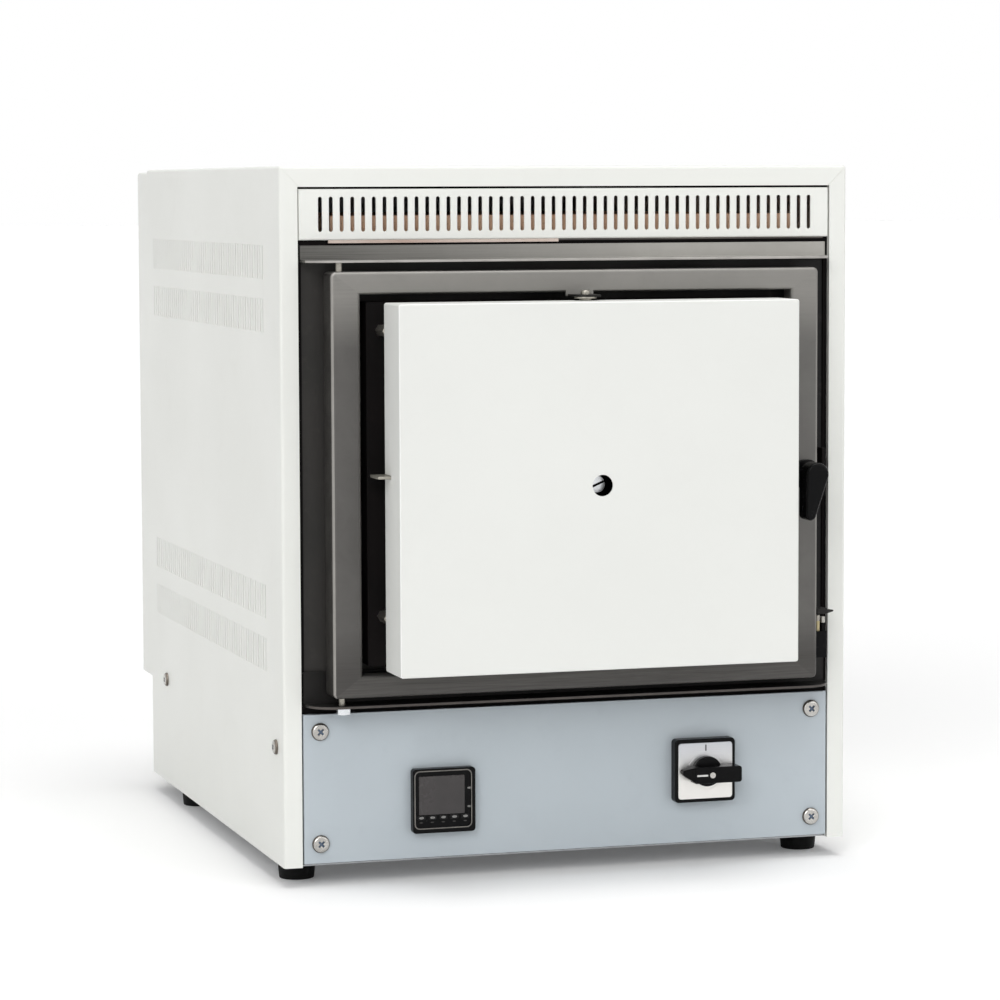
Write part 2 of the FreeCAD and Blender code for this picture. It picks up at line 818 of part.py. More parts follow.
def muffle():
    outside = block(-muffle_outer_half, muffle_outer_half, hot_front, muffle_back,
                    door_middle - muffle_outer_rise, door_middle + muffle_outer_rise)
    inside = slab(0, door_middle, 2 * muffle_half_width, 2 * muffle_half_height, muffle_corner,
                  hot_front - cut_past, hot_front + muffle_depth)
    heights = ribbon_run_heights()
    reach = ribbon_width / 2 + ribbon_pocket_margin
    cutters = [inside]
    for side in (-1, 1):
        cutters.append(side_slab(side, muffle_half_width - muffle_corner, muffle_half_width + ribbon_pocket,
                                 ribbon_front - ribbon_pocket_margin,
                                 ribbon_back + ribbon_pocket_margin,
                                 heights[0] - reach, heights[-1] + reach))
    for side, z in ribbon_tail_places():
        cutters.append(tail_slit(side, z, ribbon_back, muffle_back + cut_past))
    cutters.append(clear_hole(thermocouple_radius, 0, muffle_back - muffle_wall,
                              door_middle + thermocouple_rise, along_y, muffle_wall))
    return outside.cut(group(cutters))


def heating_ribbons():
    """One flat meander on each side wall, with two tails that leave through the back."""
    heights = ribbon_run_heights()
    tail_end = bulkhead_back + ribbon_tail_reach
    half = ribbon_width / 2
    ribbons = []
    for side in (-1, 1):
        x0 = muffle_half_width + seat_gap
        x1 = x0 + ribbon_thickness
        pieces = []
        for run, z in enumerate(heights):
            end = tail_end if run in (0, ribbon_runs - 1) else ribbon_back
            pieces.append(side_slab(side, x0, x1, ribbon_front, end, z - half, z + half))
        for run in range(ribbon_runs - 1):
            turn = ribbon_front if run % 2 == 0 else ribbon_back - ribbon_width
            pieces.append(side_slab(side, x0, x1, turn, turn + ribbon_width,
                                    heights[run] - half, heights[run + 1] + half))
        ribbons.append(together(pieces))
    return group(ribbons)


def insulation_board(half, bottom, top, y0, y1):
    return block(-half, half, y0, y1, bottom, top)


def insulation_bottom():
    return insulation_board(insulation_half_width, deck_top, door_middle - muffle_outer_rise,
                            hot_front, bulkhead_front)


def insulation_top():
    return insulation_board(insulation_half_width, door_middle + muffle_outer_rise,
                            casing_top - insulation_top_gap, hot_front, bulkhead_front)


def side_insulation():
    return group([side_slab(side, muffle_outer_half, insulation_half_width, hot_front, bulkhead_front,
                            door_middle - muffle_outer_rise, door_middle + muffle_outer_rise)
                  for side in (-1, 1)])


def insulation_rear():
    board = insulation_board(muffle_outer_half, door_middle - muffle_outer_rise,
                             door_middle + muffle_outer_rise, muffle_back, bulkhead_front)
    cutters = [tail_slit(side, z, muffle_back - cut_past, bulkhead_front + cut_past)
               for side, z in ribbon_tail_places()]
    cutters.append(clear_hole(thermocouple_radius, 0, muffle_back, door_middle + thermocouple_rise,
                              along_y, rear_board_thickness))
    return board.cut(group(cutters))


def hearth_plate():
    half = muffle_half_width - hearth_side_gap - muffle_corner / 2
    low = door_middle - muffle_half_height
    plate = block(-half, half, hot_front + hearth_front_gap, hot_front + muffle_depth - hearth_end_gap,
                  low, low + hearth_thickness)

    def lower_side(edge):
        middle = edge.CenterOfMass
        return abs(middle.z - low) < 0.01 and abs(abs(middle.x) - half) < 0.01

    edges = [edge for edge in plate.Edges if lower_side(edge)]
    return plate.makeChamfer(muffle_corner / 2, edges)


def thermocouple():
    tip = hot_front + muffle_depth - thermocouple_reach
    end = bulkhead_back + thermocouple_flange
    return rod(thermocouple_radius, end - tip, 0, tip, door_middle + thermocouple_rise, along_y)


def thermocouple_head():
    """The terminal head on its neck, with a square flange on the bulkhead."""
    z = door_middle + thermocouple_rise
    neck_front = bulkhead_back + thermocouple_flange
    box_front = neck_front + thermocouple_neck
    flange = slab(0, z, thermocouple_flange_size, thermocouple_flange_size, 0, bulkhead_back, neck_front)
    neck = prism(12, thermocouple_neck_radius, thermocouple_neck, 0, neck_front, z, along_y)
    head = slab(0, z, thermocouple_head_size, thermocouple_head_size, 0,
                box_front, box_front + thermocouple_head_depth)
    bore = rod(thermocouple_radius + running_gap, thermocouple_flange, 0, bulkhead_back, z, along_y)
    return together([flange, neck, head]).cut(bore)


def element_terminals():
    blocks = []
    for side, z in ribbon_tail_places():
        middle = muffle_half_width + seat_gap + ribbon_thickness / 2
        body = side_slab(side, middle - terminal_width / 2, middle + terminal_width / 2,
                         bulkhead_back, bulkhead_back + terminal_depth,
                         z - terminal_height / 2, z + terminal_height / 2)
        blocks.append(body.cut(tail_slit(side, z, bulkhead_back - cut_past,
                                         bulkhead_back + terminal_depth + cut_past)))
    return group(blocks)


def power_relay():
    """A solid-state relay on a finned heat sink, on the floor of the base tray."""
    y0 = front + relay_place
    floor = tray_floor_top
    fins_top = floor + heatsink_fin_height
    pitch = (heatsink_width - heatsink_fin) / (heatsink_fin_count - 1)
    left = relay_x - heatsink_width / 2
    pieces = [block(left, left + heatsink_width, y0, y0 + heatsink_length, fins_top,
                    fins_top + heatsink_base)]
    for fin in range(heatsink_fin_count):
        x = left + pitch * fin
        pieces.append(block(x, x + heatsink_fin, y0, y0 + heatsink_length, floor, fins_top))
    heatsink = together(pieces)
    low = fins_top + heatsink_base
    relay_front = y0 + (heatsink_length - relay_length) / 2
    relay = block(relay_x - relay_width / 2, relay_x + relay_width / 2, relay_front,
                  relay_front + relay_length, low, low + relay_height)
    return group([heatsink, relay])


def terminal_strip():
    """A row of feed-through terminals with a stepped profile."""
    y0 = front + strip_place
    x0 = strip_x - strip_length / 2
    floor = tray_floor_top
    step = strip_width / 4
    profile = [
        Vector(x0, y0, floor),
        Vector(x0, y0 + strip_width, floor),
        Vector(x0, y0 + strip_width, floor + strip_height / 2),
        Vector(x0, y0 + strip_width - step, floor + strip_height / 2),
        Vector(x0, y0 + strip_width - step, floor + strip_height),
        Vector(x0, y0 + step, floor + strip_height),
        Vector(x0, y0 + step, floor + strip_height / 2),
        Vector(x0, y0, floor + strip_height / 2),
    ]
    face = Part.Face(Part.Wire(Part.makePolygon(profile + profile[:1])))
    way = strip_length / strip_ways - seat_gap
    ways = []
    for index in range(strip_ways):
        piece = face.extrude(along_x * way)
        piece.translate(along_x * (index * strip_length / strip_ways))
        ways.append(piece)
    return group(ways)


def cable_gland():
    """A hexagonal body with a ribbed dome nut outside and a lock nut inside the panel."""
    outer = hexagon(gland_hex_flats, gland_hex_length, gland_x, back, gland_height, along_y)
    dome = prism(12, gland_dome_radius, gland_dome_length, gland_x, back + gland_hex_length,
                 gland_height, along_y)
    thread = prism(12, gland_thread_radius, gland_inner_length, gland_x, back - gland_inner_length,
                   gland_height, along_y)
    length = gland_inner_length + gland_hex_length + gland_dome_length
    bore = rod(gland_bore_radius, length, gland_x, back - gland_inner_length, gland_height, along_y)
    nut_front = back - sheet - gland_nut_length
    nut = hexagon(gland_hex_flats, gland_nut_length, gland_x, nut_front, gland_height, along_y)
    nut = nut.cut(rod(gland_thread_radius + hole_gap, gland_nut_length + 2 * cut_past, gland_x,
                      nut_front - cut_past, gland_height, along_y))
    return group([together([outer, dome, thread]).cut(bore), nut])


def latch_keeper():
    """A bracket on the front plate whose lip stands ahead of the latch tongue."""
    inner = handle_x + latch_reach + keeper_clearance
    outer = inner + keeper_lip
    lip_back = front - latch_front - keeper_lip_gap
    low, high = door_middle - keeper_half_height, door_middle + keeper_half_height
    pieces = [
        block(outer - keeper_foot, outer, frame_back - keeper_sheet, frame_back, low, high),
        block(outer - keeper_sheet, outer, lip_back - keeper_sheet, frame_back, low, high),
        block(inner, outer, lip_back - keeper_sheet, lip_back, low, high),
    ]
    return together(pieces)


def switch_plunger_top():
    return door_bottom + striker_rise - seat_gap


def door_switch():
    top = switch_plunger_top() - plunger_stand
    half = door_switch_width / 2
    body = block(plunger_x - half, plunger_x + half, front - door_switch_front, frame_back,
                 top - door_switch_height, top)
    bore_depth = plunger_length - plunger_stand + plunger_travel + seat_gap
    bore = rod(plunger_radius + running_gap, bore_depth, plunger_x, front - plunger_ahead,
               top - bore_depth, along_z)
    return body.cut(bore)


def switch_plunger():
    top = switch_plunger_top()
    return rod(plunger_radius, plunger_length, plunger_x, front - plunger_ahead,
               top - plunger_length, along_z)


def panel_screw_places():
    x = panel_half - panel_screw_inset
    return [(side * x, z) for side in (-1, 1)
            for z in (panel_bottom + panel_screw_rise, panel_top - panel_screw_drop)]


def control_panel():
    middle = (panel_bottom + panel_top) / 2
    panel = open_tray(0, middle, 2 * panel_half, panel_height, 0, front, frame_front, frame_sheet)
    cut_size = controller_body + 2 * cutout_gap
    cutters = [
        slab(controller_x, controller_z, cut_size, cut_size, 0, front - cut_past, front + cut_past),
        clear_hole(shaft_radius, switch_x, front, switch_z, along_y, frame_sheet),
    ]
    for x, z in panel_screw_places():
        cutters.append(screw_hole(x, front, z, along_y))
    return panel.cut(group(cutters))


def panel_screws():
    return group([pan_screw(x, front, z, along_y, panel_screw_head_radius)
                  for x, z in panel_screw_places()])


def key_places():
    span = key_pitch * (key_count - 1)
    return [controller_x - span / 2 + key_pitch * index for index in range(key_count)]


def key_pocket_back():
    recess_floor = front - controller_proud + controller_recess
    return recess_floor - key_proud + key_length + key_travel + seat_gap


def controller_case():
    face = front - controller_proud
    bezel = slab(controller_x, controller_z, instrument_size, instrument_size, instrument_corner,
                 face, front)
    body = slab(controller_x, controller_z, controller_body, controller_body, 0,
                front, front + controller_length)
    recess_size = instrument_size - 2 * controller_rim
    recess = slab(controller_x, controller_z, recess_size, recess_size, 0,
                  face - cut_past, face + controller_recess)
    cutters = [recess]
    for x in key_places():
        cutters.append(slab(x, controller_z - key_drop, key_width + 2 * slip_gap,
                            key_height + 2 * slip_gap, 0, face, key_pocket_back()))
    return together([bezel, body]).cut(group(cutters))


def controller_window():
    floor = front - controller_proud + controller_recess
    return slab(controller_x, controller_z + window_rise, window_width, window_height, 0,
                floor - window_thickness, floor)


def controller_key(x):
    floor = front - controller_proud + controller_recess
    return slab(x, controller_z - key_drop, key_width, key_height, 0,
                floor - key_proud, floor - key_proud + key_length)


def controller_clip():
    """The collar that is pushed up behind the panel to hold the controller."""
    size = controller_body + 2 * cutout_gap
    wall = (clip_size - size) / 2
    return band(controller_x, controller_z, size, size, wall, front + frame_sheet,
                front + frame_sheet + clip_length)


def switch_base():
    face = front - switch_base_depth
    base = slab(switch_x, switch_z, instrument_size, instrument_size, instrument_corner, face, front)
    return base.cut(clear_hole(shaft_radius, switch_x, face, switch_z, along_y, switch_base_depth))


def switch_plate():
    size = instrument_size - 2 * switch_plate_inset
    back_face = front - switch_base_depth
    face = back_face - switch_plate_thickness
    plate = slab(switch_x, switch_z, size, size, switch_plate_corner, face, back_face)
    return plate.cut(clear_hole(shaft_radius, switch_x, face, switch_z, along_y, switch_plate_thickness))


def switch_contact_block():
    """The contacts behind the panel, where the selector's shaft turns."""
    start = front + frame_sheet
    body = slab(switch_x, switch_z, switch_block_size, switch_block_size, 0,
                start, start + switch_block_length)
    bore = rod(shaft_radius + running_gap, shaft_length, switch_x, start, switch_z, along_y)
    return body.cut(bore)


def tangent_outline(x, z, top_radius, x_tip, z_tip, tip_radius, y):
    """Two circles joined by their outer tangents, in an upright plane."""
    dx, dz = x_tip - x, z_tip - z
    distance = math.hypot(dx, dz)
    heading = math.atan2(dz, dx)
    spread = math.acos((top_radius - tip_radius) / distance)

    def point(centre_x, centre_z, radius, angle):
        return Vector(centre_x + radius * math.cos(angle), y, centre_z + radius * math.sin(angle))

    upper_start = point(x, z, top_radius, heading + spread)
    upper_end = point(x, z, top_radius, heading - spread)
    upper_middle = point(x, z, top_radius, heading + math.pi)
    tip_start = point(x_tip, z_tip, tip_radius, heading - spread)
    tip_end = point(x_tip, z_tip, tip_radius, heading + spread)
    tip_middle = point(x_tip, z_tip, tip_radius, heading)
    return Part.Wire([
        Part.Arc(upper_start, upper_middle, upper_end).toShape(),
        Part.LineSegment(upper_end, tip_start).toShape(),
        Part.Arc(tip_start, tip_middle, tip_end).toShape(),
        Part.LineSegment(tip_end, upper_start).toShape(),
    ])


def switch_knob():
    """A round hub with a tapered bar across it, and a shaft into the contact block."""
    hub_back = front - switch_base_depth - switch_plate_thickness - seat_gap
    hub_front = hub_back - knob_hub_length
    hub = rod(knob_hub_radius, knob_hub_length, switch_x, hub_front, switch_z, along_y)
    bar_front = hub_front - knob_bar_depth
    bars = []
    for reach, radius in ((knob_bar_reach, knob_bar_end_radius), (-knob_tip_reach, knob_bar_end_radius / 2)):
        outline = tangent_outline(switch_x, switch_z, knob_bar_back_radius,
                                  switch_x + reach, switch_z, radius, bar_front)
        bars.append(Part.Face(outline).extrude(along_y * knob_bar_depth))
    shaft_end = front + frame_sheet + shaft_length - seat_gap
    shaft = rod(shaft_radius, shaft_end - hub_back, switch_x, hub_back, switch_z, along_y)
    return together([hub] + bars + [shaft])


def door_frame():
    """A pressed ring: outer walls, a face with the opening, and a turned-in inner edge."""
    frame = open_tray(0, door_middle, 2 * door_half_width, door_height, door_bend,
                      door_face, door_rear, frame_sheet)
    width = 2 * (door_half_width - door_side_member)
    height = door_height - 2 * door_rail
    opening = slab(0, door_middle, width, height, 0, door_face - cut_past, door_face + cut_past)
    inner_edge = band(0, door_middle, width, height, frame_sheet, door_face, door_face + door_return)
    frame = together([frame.cut(opening), inner_edge])
    cutters = [
        clear_hole(spindle_radius, handle_x, door_face, door_middle, along_y, frame_sheet),
        block(door_half_width - cut_past, door_half_width + cut_past, latch_face - seat_gap,
              latch_face + latch_thickness + seat_gap,
              door_middle - latch_half_height - latch_slot_drop, door_middle + latch_slot_rise),
        clear_hole(hinge_pin_radius, hinge_x, hinge_y, door_bottom, along_z, door_height),
    ]
    return frame.cut(group(cutters))


def door_cover():
    """A folded white tray with turned-in rear edges and a hole for the adjuster."""
    width = 2 * cover_half_width
    outside = slab(0, cover_middle, width, cover_height, cover_corner, cover_face, cover_rear)
    inside = slab(0, cover_middle, width - 2 * sheet, cover_height - 2 * sheet, 0,
                  cover_face + sheet, cover_rear - sheet)
    rear_opening = slab(0, cover_middle, width - 2 * cover_lip, cover_height - 2 * cover_lip, 0,
                        cover_rear - cut_past, cover_rear + cut_past)
    adjuster_hole = rod(cover_hole_radius, 2 * cut_past, 0, cover_face - cut_past, door_middle, along_y)
    hanger_hole = clear_hole(hanger_bolt_radius, 0, front - hanger_bolt_place,
                             cover_middle + cover_height / 2 - sheet, along_z, sheet)
    return outside.cut(group([inside, rear_opening, adjuster_hole, hanger_hole]))


def cover_standoffs():
    length = tray_face - cover_rear
    return group([hexagon(standoff_flats, length, side * (cover_half_width - standoff_edge), cover_rear,
                          door_middle + rise, along_y)
                  for side in (-1, 1) for rise in (-standoff_rise, standoff_rise)])


def plug_tray():
    tray = open_tray(0, door_middle, 2 * tray_half_width, 2 * tray_half_height, tray_corner,
                     tray_face, front + tray_back, frame_sheet)
    return tray.cut(clear_hole(centre_bolt_radius, 0, tray_face, door_middle, along_y, frame_sheet))


def door_plug():
    """The fibre lining of the door with a tapered block that enters the muffle."""
    inset = frame_sheet + slip_gap
    root = frame_back - seat_gap
    lining = slab(0, door_middle, 2 * (tray_half_width - inset), 2 * (tray_half_height - inset), 0,
                  tray_face + frame_sheet, root)
    root_width = 2 * (muffle_half_width - plug_gap)
    root_height = 2 * (muffle_half_height - plug_gap)
    tip = front + plug_reach
    near = rounded_outline(0, root, door_middle, root_width, root_height, muffle_corner)
    far = rounded_outline(0, tip, door_middle, root_width - 2 * plug_taper,
                          root_height - 2 * plug_taper, muffle_corner)
    nose = Part.makeLoft([near, far], True, True)
    nut_space = prism(12, centre_nut_flats * plug_recess_share, centre_nut_height + plug_recess_spare, 0,
                      tray_face + frame_sheet, door_middle, along_y)
    return together([lining, nose]).cut(nut_space)


def crossbar():
    """The bar across the frame, with a hexagonal boss for the adjusting bolt."""
    half = door_half_width - door_side_member
    y0 = front - crossbar_front
    bar = block(-half, half, y0, y0 + crossbar_depth,
                door_middle - crossbar_thickness / 2, door_middle + crossbar_thickness / 2)
    boss = hexagon(crossbar_boss_flats, crossbar_depth, 0, y0, door_middle, along_y)
    return together([bar, boss]).cut(clear_hole(centre_bolt_radius, 0, y0, door_middle, along_y,
                                                crossbar_depth))


def centre_bolt():
    """The slotted bolt that draws the plug against the bar, with its two nuts."""
    head_front = front - centre_head_place
    end = tray_face + frame_sheet + centre_nut_height + centre_bolt_spare
    head = rod(centre_head_radius, centre_head_height, 0, head_front, door_middle, along_y)
    slot = block(-2 * centre_head_radius, 2 * centre_head_radius, head_front - centre_slot_depth,
                 head_front + centre_slot_depth, door_middle - centre_slot_width / 2,
                 door_middle + centre_slot_width / 2)
    slot.rotate(Vector(0, head_front, door_middle), along_y, -centre_slot_angle)
    shank = rod(centre_bolt_radius, end - head_front - centre_head_height, 0,
                head_front + centre_head_height, door_middle, along_y)
    bolt = together([head.cut(slot), shank])
    nuts = []
    bar_front = front - crossbar_front
    for nut_front in (bar_front - centre_nut_height, tray_face + frame_sheet):
        nut = hexagon(centre_nut_flats, centre_nut_height, 0, nut_front, door_middle, along_y)
        nuts.append(nut.cut(clear_hole(centre_bolt_radius, 0, nut_front, door_middle, along_y,
                                       centre_nut_height)))
    return group([bolt] + nuts)


def hanger_top():
    return door_top - door_rail


def hanger_bracket():
    top = hanger_top()
    tab = block(-hanger_half_width, hanger_half_width, front - hanger_front, front - hanger_back,
                top - hanger_thickness, top)
    return tab.cut(clear_hole(hanger_bolt_radius, 0, front - hanger_bolt_place,
                              top - hanger_thickness, along_z, hanger_thickness))


def hanger_bolt():
    """A bolt down through the tab and the cover, with its washer, spacer and nut."""
    top = hanger_top()
    y = front - hanger_bolt_place
    tab_bottom = top - hanger_thickness
    cover_top = cover_middle + cover_height / 2
    low = cover_top - sheet - hanger_hex_height - hanger_bolt_spare
    shank = rod(hanger_bolt_radius, top - low, 0, y, low, along_z)
    head = hexagon(hanger_hex_flats, hanger_hex_height, 0, y, top, along_z)
    bolt = together([head, shank])

    def sleeve(outer, bottom, height):
        return outer.cut(clear_hole(hanger_bolt_radius, 0, y, bottom, along_z, height))

    washer_bottom = tab_bottom - hanger_washer_thickness
    washer = sleeve(rod(hanger_washer_radius, hanger_washer_thickness, 0, y, washer_bottom, along_z),
                    washer_bottom, hanger_washer_thickness)
    spacer = sleeve(hexagon(hanger_hex_flats, washer_bottom - cover_top, 0, y, cover_top, along_z),
                    cover_top, washer_bottom - cover_top)
    nut_bottom = cover_top - sheet - hanger_hex_height
    nut = sleeve(hexagon(hanger_hex_flats, hanger_hex_height, 0, y, nut_bottom, along_z),
                 nut_bottom, hanger_hex_height)
    return group([bolt, washer, spacer, nut])


def striker():
    """A pointed tongue with a foot on the door frame's side."""
    bottom = door_bottom + striker_rise
    top = bottom + striker_thickness
    side = door_half_width
    y0, y1 = front - striker_front, front - striker_back
    middle = (y0 + y1) / 2
    neck = side + striker_reach / 2
    points = [Vector(side, y0, bottom), Vector(neck, y0, bottom), Vector(side + striker_reach, middle, bottom),
              Vector(neck, y1, bottom), Vector(side, y1, bottom)]
    tongue = Part.Face(Part.Wire(Part.makePolygon(points + points[:1])))
    tongue = tongue.extrude(along_z * striker_thickness)
    foot = block(side, side + striker_foot_thickness, y0, y1, bottom, top + striker_foot_height)
    return together([tongue, foot])


def handle_rose():
    y0 = door_face - rose_thickness
    rose = slab(handle_x, door_middle, rose_width, rose_height, rose_corner, y0, door_face)
    hole = rod(spindle_radius + running_gap, rose_thickness + 2 * cut_past, handle_x, y0 - cut_past,
               door_middle, along_y)
    return rose.cut(hole)


def door_handle():
    """A hub with a tapered lever that hangs down in front of it."""
    hub = rod(handle_hub_radius, handle_hub_length, handle_x, lever_back, door_middle, along_y)
    lever_face = lever_back - lever_thickness
    outline = tangent_outline(handle_x, door_middle, lever_top_radius, handle_x,
                              door_middle - lever_length, lever_tip_radius, lever_face)
    lever = Part.Face(outline).extrude(along_y * lever_thickness)
    socket = rod(spindle_radius, handle_hub_length + seat_gap, handle_x, hub_back - handle_hub_length,
                 door_middle, along_y)
    return together([hub, lever]).cut(socket)


def latch_spindle():
    """The spindle from the handle through the frame, with the latch tongue at its end."""
    tongue_back = latch_face + latch_thickness
    spindle = rod(spindle_radius, tongue_back - lever_back, handle_x, lever_back, door_middle, along_y)
    hub = rod(latch_hub_radius, latch_thickness, handle_x, latch_face, door_middle, along_y)
    tongue = block(handle_x, handle_x + latch_reach, latch_face, tongue_back,
                   door_middle - latch_half_height, door_middle + latch_half_height)
    return together([spindle, hub, tongue])


makers = [
    outer_casing, base_tray, front_frame, front_plate, rear_bulkhead, rear_panel, rear_cover,
    casing_screws, bay_deck, rubber_feet, front_grille, upper_hinge_plate, lower_hinge_plate,
    hinge_pins, hinge_blocks, muffle, heating_ribbons, insulation_bottom,
    insulation_top, side_insulation, insulation_rear, hearth_plate, thermocouple, thermocouple_head,
    element_terminals, power_relay, terminal_strip, cable_gland, latch_keeper, door_switch,
    switch_plunger, control_panel, panel_screws, controller_case, controller_window, controller_clip,
    switch_base, switch_plate, switch_contact_block, switch_knob, door_frame, door_cover,
    cover_standoffs, plug_tray, door_plug, crossbar, centre_bolt, hanger_bracket, hanger_bolt,
    striker, handle_rose, door_handle, latch_spindle,
]

for maker in makers:
    nodes[maker.__name__] = maker()
for index, x in enumerate(key_places()):
    nodes["controller_key_" + str(index + 1)] = controller_key(x)

os.makedirs("parts", exist_ok=True)
for name, shape in nodes.items():
    shape.exportStep(os.path.join("parts", name + ".step"))
    print(name, len(shape.Solids), "valid" if shape.isValid() else "NOT VALID", round(shape.Volume, 1))
print(len(nodes), "nodes")
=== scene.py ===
import json
from math import radians

import bmesh
import bpy
from mathutils import Matrix, Vector

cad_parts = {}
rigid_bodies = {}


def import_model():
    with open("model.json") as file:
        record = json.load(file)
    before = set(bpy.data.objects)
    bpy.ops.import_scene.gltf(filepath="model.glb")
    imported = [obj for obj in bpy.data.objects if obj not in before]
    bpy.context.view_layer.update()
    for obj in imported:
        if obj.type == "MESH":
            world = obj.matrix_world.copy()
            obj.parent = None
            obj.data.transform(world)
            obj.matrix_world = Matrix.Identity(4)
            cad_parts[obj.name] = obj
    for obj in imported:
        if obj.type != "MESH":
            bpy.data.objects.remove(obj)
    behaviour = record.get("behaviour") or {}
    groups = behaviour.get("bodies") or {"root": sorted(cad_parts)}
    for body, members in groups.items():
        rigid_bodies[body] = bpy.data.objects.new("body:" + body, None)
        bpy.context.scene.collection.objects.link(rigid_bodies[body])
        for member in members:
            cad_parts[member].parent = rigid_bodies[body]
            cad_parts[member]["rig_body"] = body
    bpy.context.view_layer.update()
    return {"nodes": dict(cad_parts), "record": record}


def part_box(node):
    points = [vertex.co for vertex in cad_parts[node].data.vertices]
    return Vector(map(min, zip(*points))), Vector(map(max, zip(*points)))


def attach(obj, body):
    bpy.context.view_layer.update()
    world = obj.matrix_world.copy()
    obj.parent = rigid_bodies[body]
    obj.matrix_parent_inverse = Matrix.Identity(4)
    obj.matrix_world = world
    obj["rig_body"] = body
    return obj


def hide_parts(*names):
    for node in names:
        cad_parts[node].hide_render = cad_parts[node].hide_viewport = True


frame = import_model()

mm = 0.001
slotOf = {row["node"]: row["material_slot"] for row in frame["record"]["subparts"]}
sides = {"left": (0, 0), "right": (0, 1), "front": (1, 0), "back": (1, 1), "bottom": (2, 0), "top": (2, 1)}
frontCorners = [{end, edge} for end in ("left", "right") for edge in ("top", "bottom")]
touch = 0.02    # how near counts as touching, in millimetres
sharpBend = 45  # an edge that bends more than this, in degrees, is sharp
cutPast = 3     # how far a cutter reaches past a sheet, in millimetres
cutStart = 1    # how far in front of a face a shallow cutter starts, in millimetres
sunk = 0.2      # how deep a mark or a shank sits in what carries it, in millimetres
roundEnd = 0.49  # the share of a slot's width that rounds its ends


# Helpers for working by hand. Sizes are in millimetres, meshes in metres.

def clearSelection():
    active = bpy.context.view_layer.objects.active
    if active and active.mode != "OBJECT":
        bpy.ops.object.mode_set(mode="OBJECT")
    bpy.ops.object.select_all(action="DESELECT")


def focus(piece):
    clearSelection()
    piece.select_set(True)
    bpy.context.view_layer.objects.active = piece


def settle(piece, name):
    focus(piece)
    bpy.ops.object.transform_apply(location=True, rotation=True, scale=True)
    piece.name = name
    piece.data.name = name
    return piece


def cadCorners(*nodes):
    # the lowest and highest corner of some nodes together, in millimetres
    boxes = [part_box(node) for node in nodes]
    low = Vector([min(box[0][axis] for box in boxes) for axis in range(3)]) / mm
    high = Vector([max(box[1][axis] for box in boxes) for axis in range(3)]) / mm
    return low, high


def startBox(name, low, high):
    clearSelection()
    low, high = Vector(low) * mm, Vector(high) * mm
    bpy.ops.mesh.primitive_cube_add(size=1, location=(low + high) / 2)
    piece = bpy.context.object
    piece.scale = high - low
    return settle(piece, name)


def startRod(name, start, end, radius, endRadius=None, count=48):
    # a round bar from start to end, or a tapered one
    clearSelection()
    start, end = Vector(start) * mm, Vector(end) * mm
    turn = (end - start).to_track_quat("Z", "X").to_euler()
    endRadius = radius if endRadius is None else endRadius
    bpy.ops.mesh.primitive_cone_add(vertices=count, radius1=radius * mm, radius2=endRadius * mm,
                                    depth=(end - start).length, location=(start + end) / 2, rotation=turn)
    return settle(bpy.context.object, name)


def touching(points, low, high):
    # the sides of a box that all these points lie on
    ends = (low, high)
    return {name for name, (axis, end) in sides.items()
            if all(abs(point[axis] - ends[end][axis]) < touch for point in points)}


def pickFaces(piece, wanted):
    # wanted(middle, normal), and the piece is left in edit mode
    focus(piece)
    bpy.ops.object.mode_set(mode="EDIT")
    bpy.ops.mesh.select_mode(type="FACE")
    bpy.ops.mesh.select_all(action="DESELECT")
    shape = bmesh.from_edit_mesh(piece.data)
    for face in shape.faces:
        if wanted(face.calc_center_median() / mm, face.normal):
            face.select_set(True)
    bmesh.update_edit_mesh(piece.data)


def pickEdges(piece, wanted):
    # wanted(one end, other end, bend in degrees), and the piece is left in edit mode
    focus(piece)
    bpy.ops.object.mode_set(mode="EDIT")
    bpy.ops.mesh.select_mode(type="EDGE")
    bpy.ops.mesh.select_all(action="DESELECT")
    shape = bmesh.from_edit_mesh(piece.data)
    for edge in shape.edges:
        bend = edge.calc_face_angle(0) / radians(1)
        if wanted(edge.verts[0].co / mm, edge.verts[1].co / mm, bend):
            edge.select_set(True)
    bmesh.update_edit_mesh(piece.data)


def finishEdit():
    bpy.ops.object.mode_set(mode="OBJECT")


def bevelEdges(piece, wanted, width, segments=3):
    pickEdges(piece, wanted)
    bpy.ops.mesh.bevel(offset=width * mm, offset_type="OFFSET", segments=segments, affect="EDGES")
    finishEdit()


def dropFaces(piece, wanted):
    pickFaces(piece, wanted)
    bpy.ops.mesh.delete(type="FACE")
    finishEdit()


def insetFaces(piece, wanted, steps):
    # each step is how far the face shrinks and how far it then moves out
    pickFaces(piece, wanted)
    for thickness, depth in steps:
        bpy.ops.mesh.inset(thickness=thickness * mm, depth=depth * mm, use_even_offset=True)
    finishEdit()


def applyModifier(piece, kind, **settings):
    focus(piece)
    modifier = piece.modifiers.new(kind.title(), kind)
    for setting, value in settings.items():
        setattr(modifier, setting, value)
    bpy.ops.object.modifier_apply(modifier=modifier.name)


def wallOf(piece, thickness):
    applyModifier(piece, "SOLIDIFY", thickness=thickness * mm, offset=-1, use_even_offset=True)


def joinPieces(pieces, name):
    clearSelection()
    for piece in pieces:
        piece.select_set(True)
    bpy.context.view_layer.objects.active = pieces[0]
    bpy.ops.object.join()
    joined = bpy.context.object
    joined.name = name
    joined.data.name = name
    return joined


def cutAway(piece, cutters):
    cutter = joinPieces(cutters, "cutter") if len(cutters) > 1 else cutters[0]
    applyModifier(piece, "BOOLEAN", operation="DIFFERENCE", object=cutter, solver="EXACT")
    bpy.data.objects.remove(cutter)


